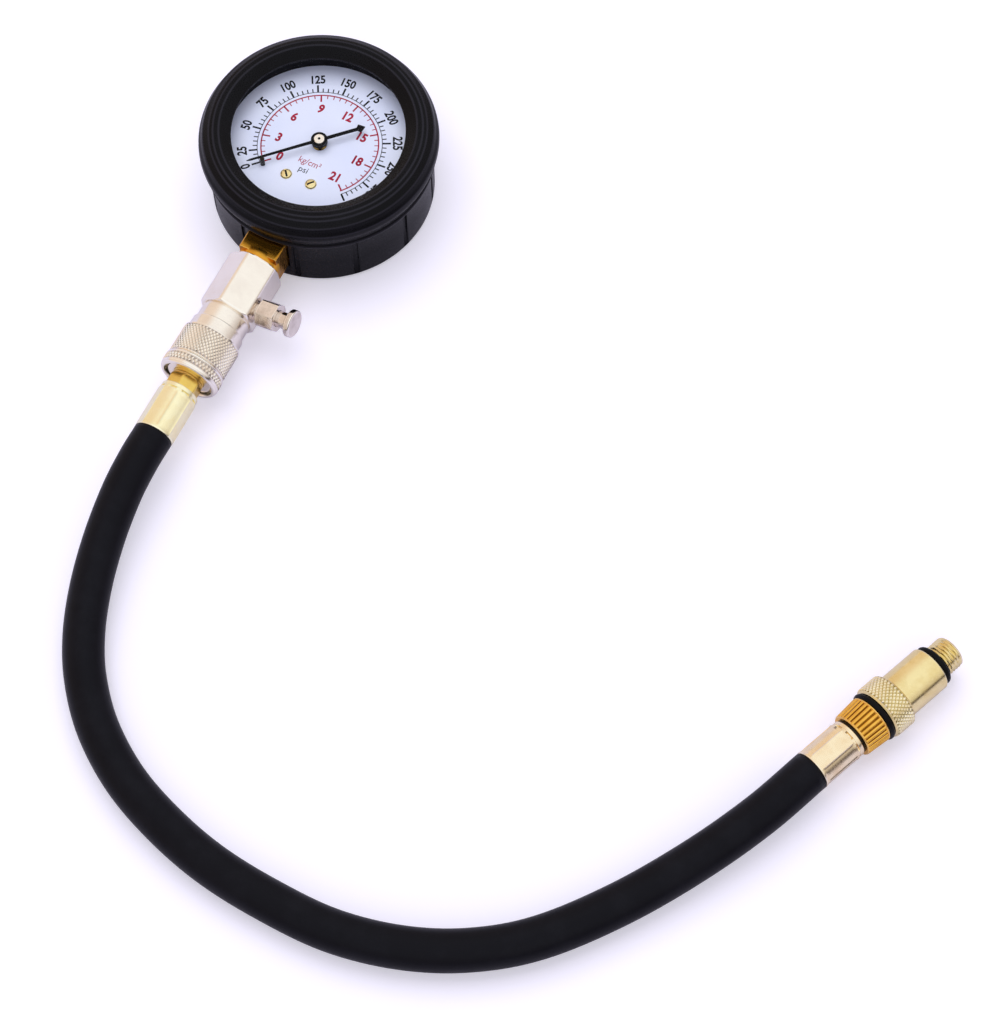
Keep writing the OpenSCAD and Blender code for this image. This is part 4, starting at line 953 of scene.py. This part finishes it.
def knurled(name, axis, root, start, end, over, around, bright, dark, body, slot):
    """Knurl of longish diamonds on a band painted dark as groove shade, between two stations, and a
    little over it.
    """
    band = turned(name + "_grooves", axis, [
        (start, root - 0.2), (start, root + 0.02), (end, root + 0.02), (end, root - 0.2)], 0.0)
    dress(band, dark, body, slot)
    start, end = start - over, end + over
    wide = math.tau * root / around
    rows = int((end - start) / (0.58 * wide)) - 1
    pitch = (end - start) / (rows + 1)
    diamonds = grown(name + "_knurl", knurl, {
        "Around": around, "Rows": rows, "Radius": (root - SUNK) * MM, "Finish": bright,
        "Start": (start + pitch) * MM, "Row Step": pitch * MM, "Rise": (KNURL_RISE + SUNK) * MM},
        placed(axis))
    dress(diamonds, bright, body, slot)


# %% Sleeve
dress(turned("coupler_grip_sleeve", STEM, [
    (65.9, 7.75), (65.9, 7.95), (66.2, 8.25), (69.6, 8.25), (69.9, 9.1), (70.3, 8.85),
    (79.2, 8.85), (79.45, 9.1), (79.65, 9.1), (79.65, 8.6), (80.0, 8.6), (80.0, 9.15),
    (80.35, 9.42), (80.6, 9.42), (80.8, 9.15), (83.1, 9.15), (83.3, 9.42), (83.8, 9.32),
    (84.4, 9.0), (84.7, 8.6), (84.7, 7.9), (80.6, 7.9), (80.6, 6.25), (76.4, 6.25), (76.4, 7.75)],
    0.12, 128), nickel, "sleeve", "nickel", "coupler_sleeve")
for name, root, start, end in (("sleeve", 8.85, 70.1, 79.4), ("end_ring", 9.15, 80.65, 83.25)):
    knurled(name, STEM, root, start, end, 0, 48, nickel, groove_shade_nickel, "sleeve", "nickel")

# %% [markdown]
# The bleed valve screws into one flat of the hexagon: a short stretch of thread shows, then a nut
# and the button that lets the pressure out. The thread is a lathe shape whose radius follows a
# sawtooth that climbs by one pitch in a turn.

# %% Bleed valve
RUN_OUT = 0.3  # mm over which a thread fades at its ends


def thread(pitch, depth, low, high):
    """Shape function: a thread cut between two stations."""
    def cut(a, s, r):
        if not low < s < high:
            return r
        phase = (s / pitch - a / math.tau) % 1.0
        fade = min(1.0, (s - low) / RUN_OUT, (high - s) / RUN_OUT)
        return r - depth * fade * min(1.0, abs(2 * phase - 1) * 1.25)
    return cut


def nut_and_thread(a, s, r):
    return thread(0.8, 0.42, 7.0, 9.2)(a, s, r) if s < 9.2 else flats(6, 8, 0.0, 4.45)(a, s, r)


dress(turned("bleed_valve", BLEED, [
    (3.65, 1.15), (3.65, 3.2), (9.2, 3.2), (9.2, 4.1), (9.5, 4.62), (14.9, 4.62), (15.2, 4.1),
    (15.2, 2.55), (10.0, 2.55), (10.0, 1.15)], 0.1, 96, nut_and_thread, 0.1),
    valve_nickel, "gauge", "nickel", "bleed_valve_body")
dress(turned("bleed_push_button", BLEED, [
    (1.65, 0), (1.65, 1.6), (2.15, 1.6), (2.15, 1.1), (13.1, 1.1), (13.1, 2.5), (18.8, 2.5),
    (18.8, 3.95), (19.1, 4.25), (20.5, 4.25), (20.8, 3.9), (20.8, 0)], 0.15, 64),
    valve_nickel, "button", "nickel", "bleed_button")

# %% [markdown]
# The hose set starts with the plug in the coupler, a brass hexagon, and a ferrule that was
# pressed on to the hose with eight jaws. The jaws leave eight long flats with a thin ridge
# between them and short slots at the collar, and the ends, where they did not reach, stay round.

# %% Plug and ferrules
dress(turned("plug_hexagon", STEM, [
    (68.1, 1.75), (68.1, 3.85), (74.1, 3.85), (74.1, 4.95), (85.0, 4.95), (85.0, 4.7),
    (85.42, 5.31), (88.73, 5.31), (89.15, 4.7), (89.15, 3.4), (104.95, 3.4), (104.95, 1.75)],
    0.12, 96, flats(6, 9.2, 0.0, 5.2, 85.05, 89.2), 0.5),
    plug_brass, "hose_set", "plug_brass", "hose_plug")

FLAT_R, BULGE, RIDGE = 5.86, 2.6, 0.1  # mm
RIDGE_FROM, RIDGE_RUN, SLOT_HALF = 0.335, 0.058, 0.2  # radians from the middle of a flat
SLOT_R, COLLAR_R = 5.0, 5.7


def ferrule(name, axis, hose_end, collar_end, turn, finish, node, slot):
    """Pressed ferrule between its mouth at the hose and its collar at the fitting."""
    way = 1 if collar_end > hose_end else -1
    length = abs(collar_end - hose_end)
    part = math.pi / 4
    around = [turn + part * k + math.radians(d) for k in range(8)
              for d in (-22.5, -21.5, -20.5, -19, -14, -9, -4, 4, 9, 14, 19, 20.5, 21.5)]

    def jaws(a, s, r):
        run = (s - hose_end) * way
        bite = min(1.0, max(0.0, (run - 0.5) / 0.6), max(0.0, (length - 2.0 - run) / 0.3))
        off = abs((a - turn + part / 2) % part - part / 2)
        ridge = RIDGE * max(0.0, (off - RIDGE_FROM) / RIDGE_RUN)
        pressed = FLAT_R + BULGE * (1 / math.cos(off) - 1) + ridge
        if SLOT_R - 0.1 < r < COLLAR_R - 0.1:
            return r if off < SLOT_HALF else COLLAR_R
        return r + (pressed - r) * bite if r >= COLLAR_R - 0.1 else r
    outline = [(hose_end + way * s, r) for s, r in (
        (0, 3.45), (0, 5.85), (0.25, 6.1), (length - 1.9, 6.1), (length - 1.9, SLOT_R),
        (length - 1.2, SLOT_R), (length - 1.2, 5.85), (length, 5.85), (length, 3.45))]
    piece = turned(name, axis, outline, 0.15, sorted(a % math.tau for a in around), jaws, 0.5)
    dress(piece, finish, "hose_set", slot, node)


ferrule("coupler_end_ferrule", STEM, 104.95, 89.2, math.radians(9.3), near_brass, "near_ferrule",
        "near_ferrule_brass")
ferrule("far_end_ferrule", FAR, 0.05, 14.6, math.radians(4.7), far_brass, "far_ferrule",
        "far_ferrule_brass")

# %% [markdown]
# At the far end a fluted ring, flared like a bell, is held between the ferrule and a seal. Its
# flutes are ribs along the cone at even angles, so a third small node tree sets one rib round
# the ring.

# %% Ribs as a node tree
def ribs_tree():
    tree, size = new_tree("fluted_ring", "Count", "Radius, Middle, Length, Width, Rise, Flare")
    index = add(tree, "GeometryNodeInputIndex")
    part = add(tree, "Math", {0: math.tau, 1: size["Count"]}, operation="DIVIDE")
    angle = add(tree, "Math", {0: index, 1: part}, operation="MULTIPLY")
    bar = add(tree, "GeometryNodeMeshCylinder", {"Vertices": 12, "Radius": 1.0, "Depth": 1.0})
    rib = add(tree, "GeometryNodeSetShadeSmooth", {"Geometry": bar})
    turn = add(tree, "CombineXYZ", {"Y": size["Flare"], "Z": angle})
    scale = add(tree, "CombineXYZ", {"X": size["Rise"], "Y": size["Width"], "Z": size["Length"]})
    return set_round(tree, size, size["Count"], angle, size["Middle"], rib, turn, scale)


ribs = ribs_tree()
FLARE = math.atan2(0.6, 7.8)
dress(turned("flared_end_fitting", FAR, [
    (0.05, 1.75), (0.05, 3.4), (14.65, 3.4), (14.65, 4.6), (15.4, 4.6), (15.4, 6.55),
    (15.75, 6.75), (16.0, 6.5), (22.7, 7.0), (22.85, 7.35), (23.2, 7.3), (23.2, 4.6),
    (35.2, 4.6), (35.2, 1.75)], 0.12, 120), flute_brass, "hose_set", "fitting_brass", "end_fitting")
flutes = grown("ring_flutes", ribs, {
    "Count": 30, "Radius": 6.72 * MM, "Middle": 19.3 * MM, "Length": 7.1 * MM, "Width": 0.52 * MM,
    "Rise": 0.36 * MM, "Flare": FLARE, "Finish": flute_brass}, placed(FAR))
for name, outline, finish in (
        # Dark brass painted as shade between the flutes.
        ("flute_floor_shade", [(16.1, 6.3), (16.1, 6.54), (22.6, 7.03), (22.6, 6.8)], flute_root_shade),
        # Dark steel ring painted as shade in the groove behind the fluted ring.
        ("swivel_groove_shade", [(14.68, 4.5), (14.68, 5.6), (15.37, 5.6), (15.37, 4.5)], dark_steel)):
    dress(turned(name, FAR, outline, 0.0), finish, "hose_set", "fitting_brass")
flutes.data.set_sharp_from_angle(angle=math.radians(50))
dress(flutes, flute_brass, "hose_set", "fitting_brass")

# %% [markdown]
# The adapter screws into the engine's plug hole: a knurled collar to turn it by, a polished body
# and a short metric thread with a seal behind it. Body and thread are one lathe shape, and the
# knurl tree sets the diamonds on the collar. The seals are plain rubber rings.

# %% Adapter and seals
dress(turned("plug_hole_adapter", FAR, [
    (25.1, 4.65), (25.1, 7.5), (25.7, 8.1), (32.0, 8.1), (32.6, 7.5), (32.6, 6.85), (46.1, 6.85),
    (46.5, 6.45), (46.5, 4.3), (48.3, 4.3), (48.8, 5.0), (54.0, 5.0), (54.6, 4.4), (54.6, 2.2),
    (35.7, 2.2), (35.7, 4.65)], 0.12, 96, thread(1.0, 0.5, 48.5, 54.3), 0.14),
    adapter_brass, "hose_set", "adapter_brass", "adapter")
knurled("collar", FAR, 8.1, 25.7, 32.0, 0.25, 40, knurl_brass, groove_shade_brass, "hose_set",
        "adapter_brass")


def ring_seal(name, middle, section, station, node):
    outline = arc(station, middle, section / 2, section / 2, 0, 342, 19)
    dress(turned(name, FAR, outline, 0.0), seal_rubber, "hose_set", "seal_rubber", node)


ring_seal("flared_ring_seal", 6.95, 1.8, 24.15, "fitting_seal")
ring_seal("plug_hole_seal", 5.35, 2.0, 47.55, "tip_seal")

# %% [markdown]
# Three coil springs push things home: the sleeve, the bleed button and the check valve's pin. The
# CAD model winds them coarsely, so each is measured and wound again in smooth wire.

# %% Springs
WIRE_STEPS = 36


def wound(name, coarse, axis, turns):
    """Wind a smooth coil in the place of a coarse one; return it and its ends in mm."""
    origin, along, side, third = axis
    spots = [coarse.matrix_world @ vert.co / MM - origin for vert in coarse.data.vertices]
    stations = [spot.dot(along) for spot in spots]
    reaches = [(spot - along * s).length for spot, s in zip(spots, stations)]
    low, high, wire = min(stations), max(stations), max(reaches) - min(reaches)
    line = []
    for k in range(turns * WIRE_STEPS + 1):
        a = math.tau * k / WIRE_STEPS
        out = spoke(side, third, a) * (max(reaches) - wire / 2)
        rise = (high - low - wire) * k / (turns * WIRE_STEPS)
        line.append((origin + along * (low + wire / 2 + rise) + out) * MM)
    return swept(name, line, wire / 2 * MM, 10, along)[0], low, high


for name, node, axis, turns, body, joint, travel in (
        ("sleeve_coil", "sleeve_spring", STEM, 4, "gauge", "sleeve_pull", 3.5),
        ("bleed_coil", "bleed_spring", BLEED, 3, "gauge", "bleed_press", 2.5),
        ("check_valve_coil", "check_valve_spring", FAR, 3, "hose_set", "check_open", 1.0)):
    coil, low, high = wound(name, nodes[node], axis, turns)
    dress(coil, dark_steel, body, "spring_steel", node)
    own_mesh(coil)
    print(name, "is", round(high - low, 2), "mm long and gives", travel, "mm")

# %% [markdown]
# The hose gets its rubber and stands in for the CAD hose. It rides with the plug, because the
# whole set swivels in the coupler.

dress(rubber_hose, hose_rubber, "hose_set", "hose_rubber", "hose")
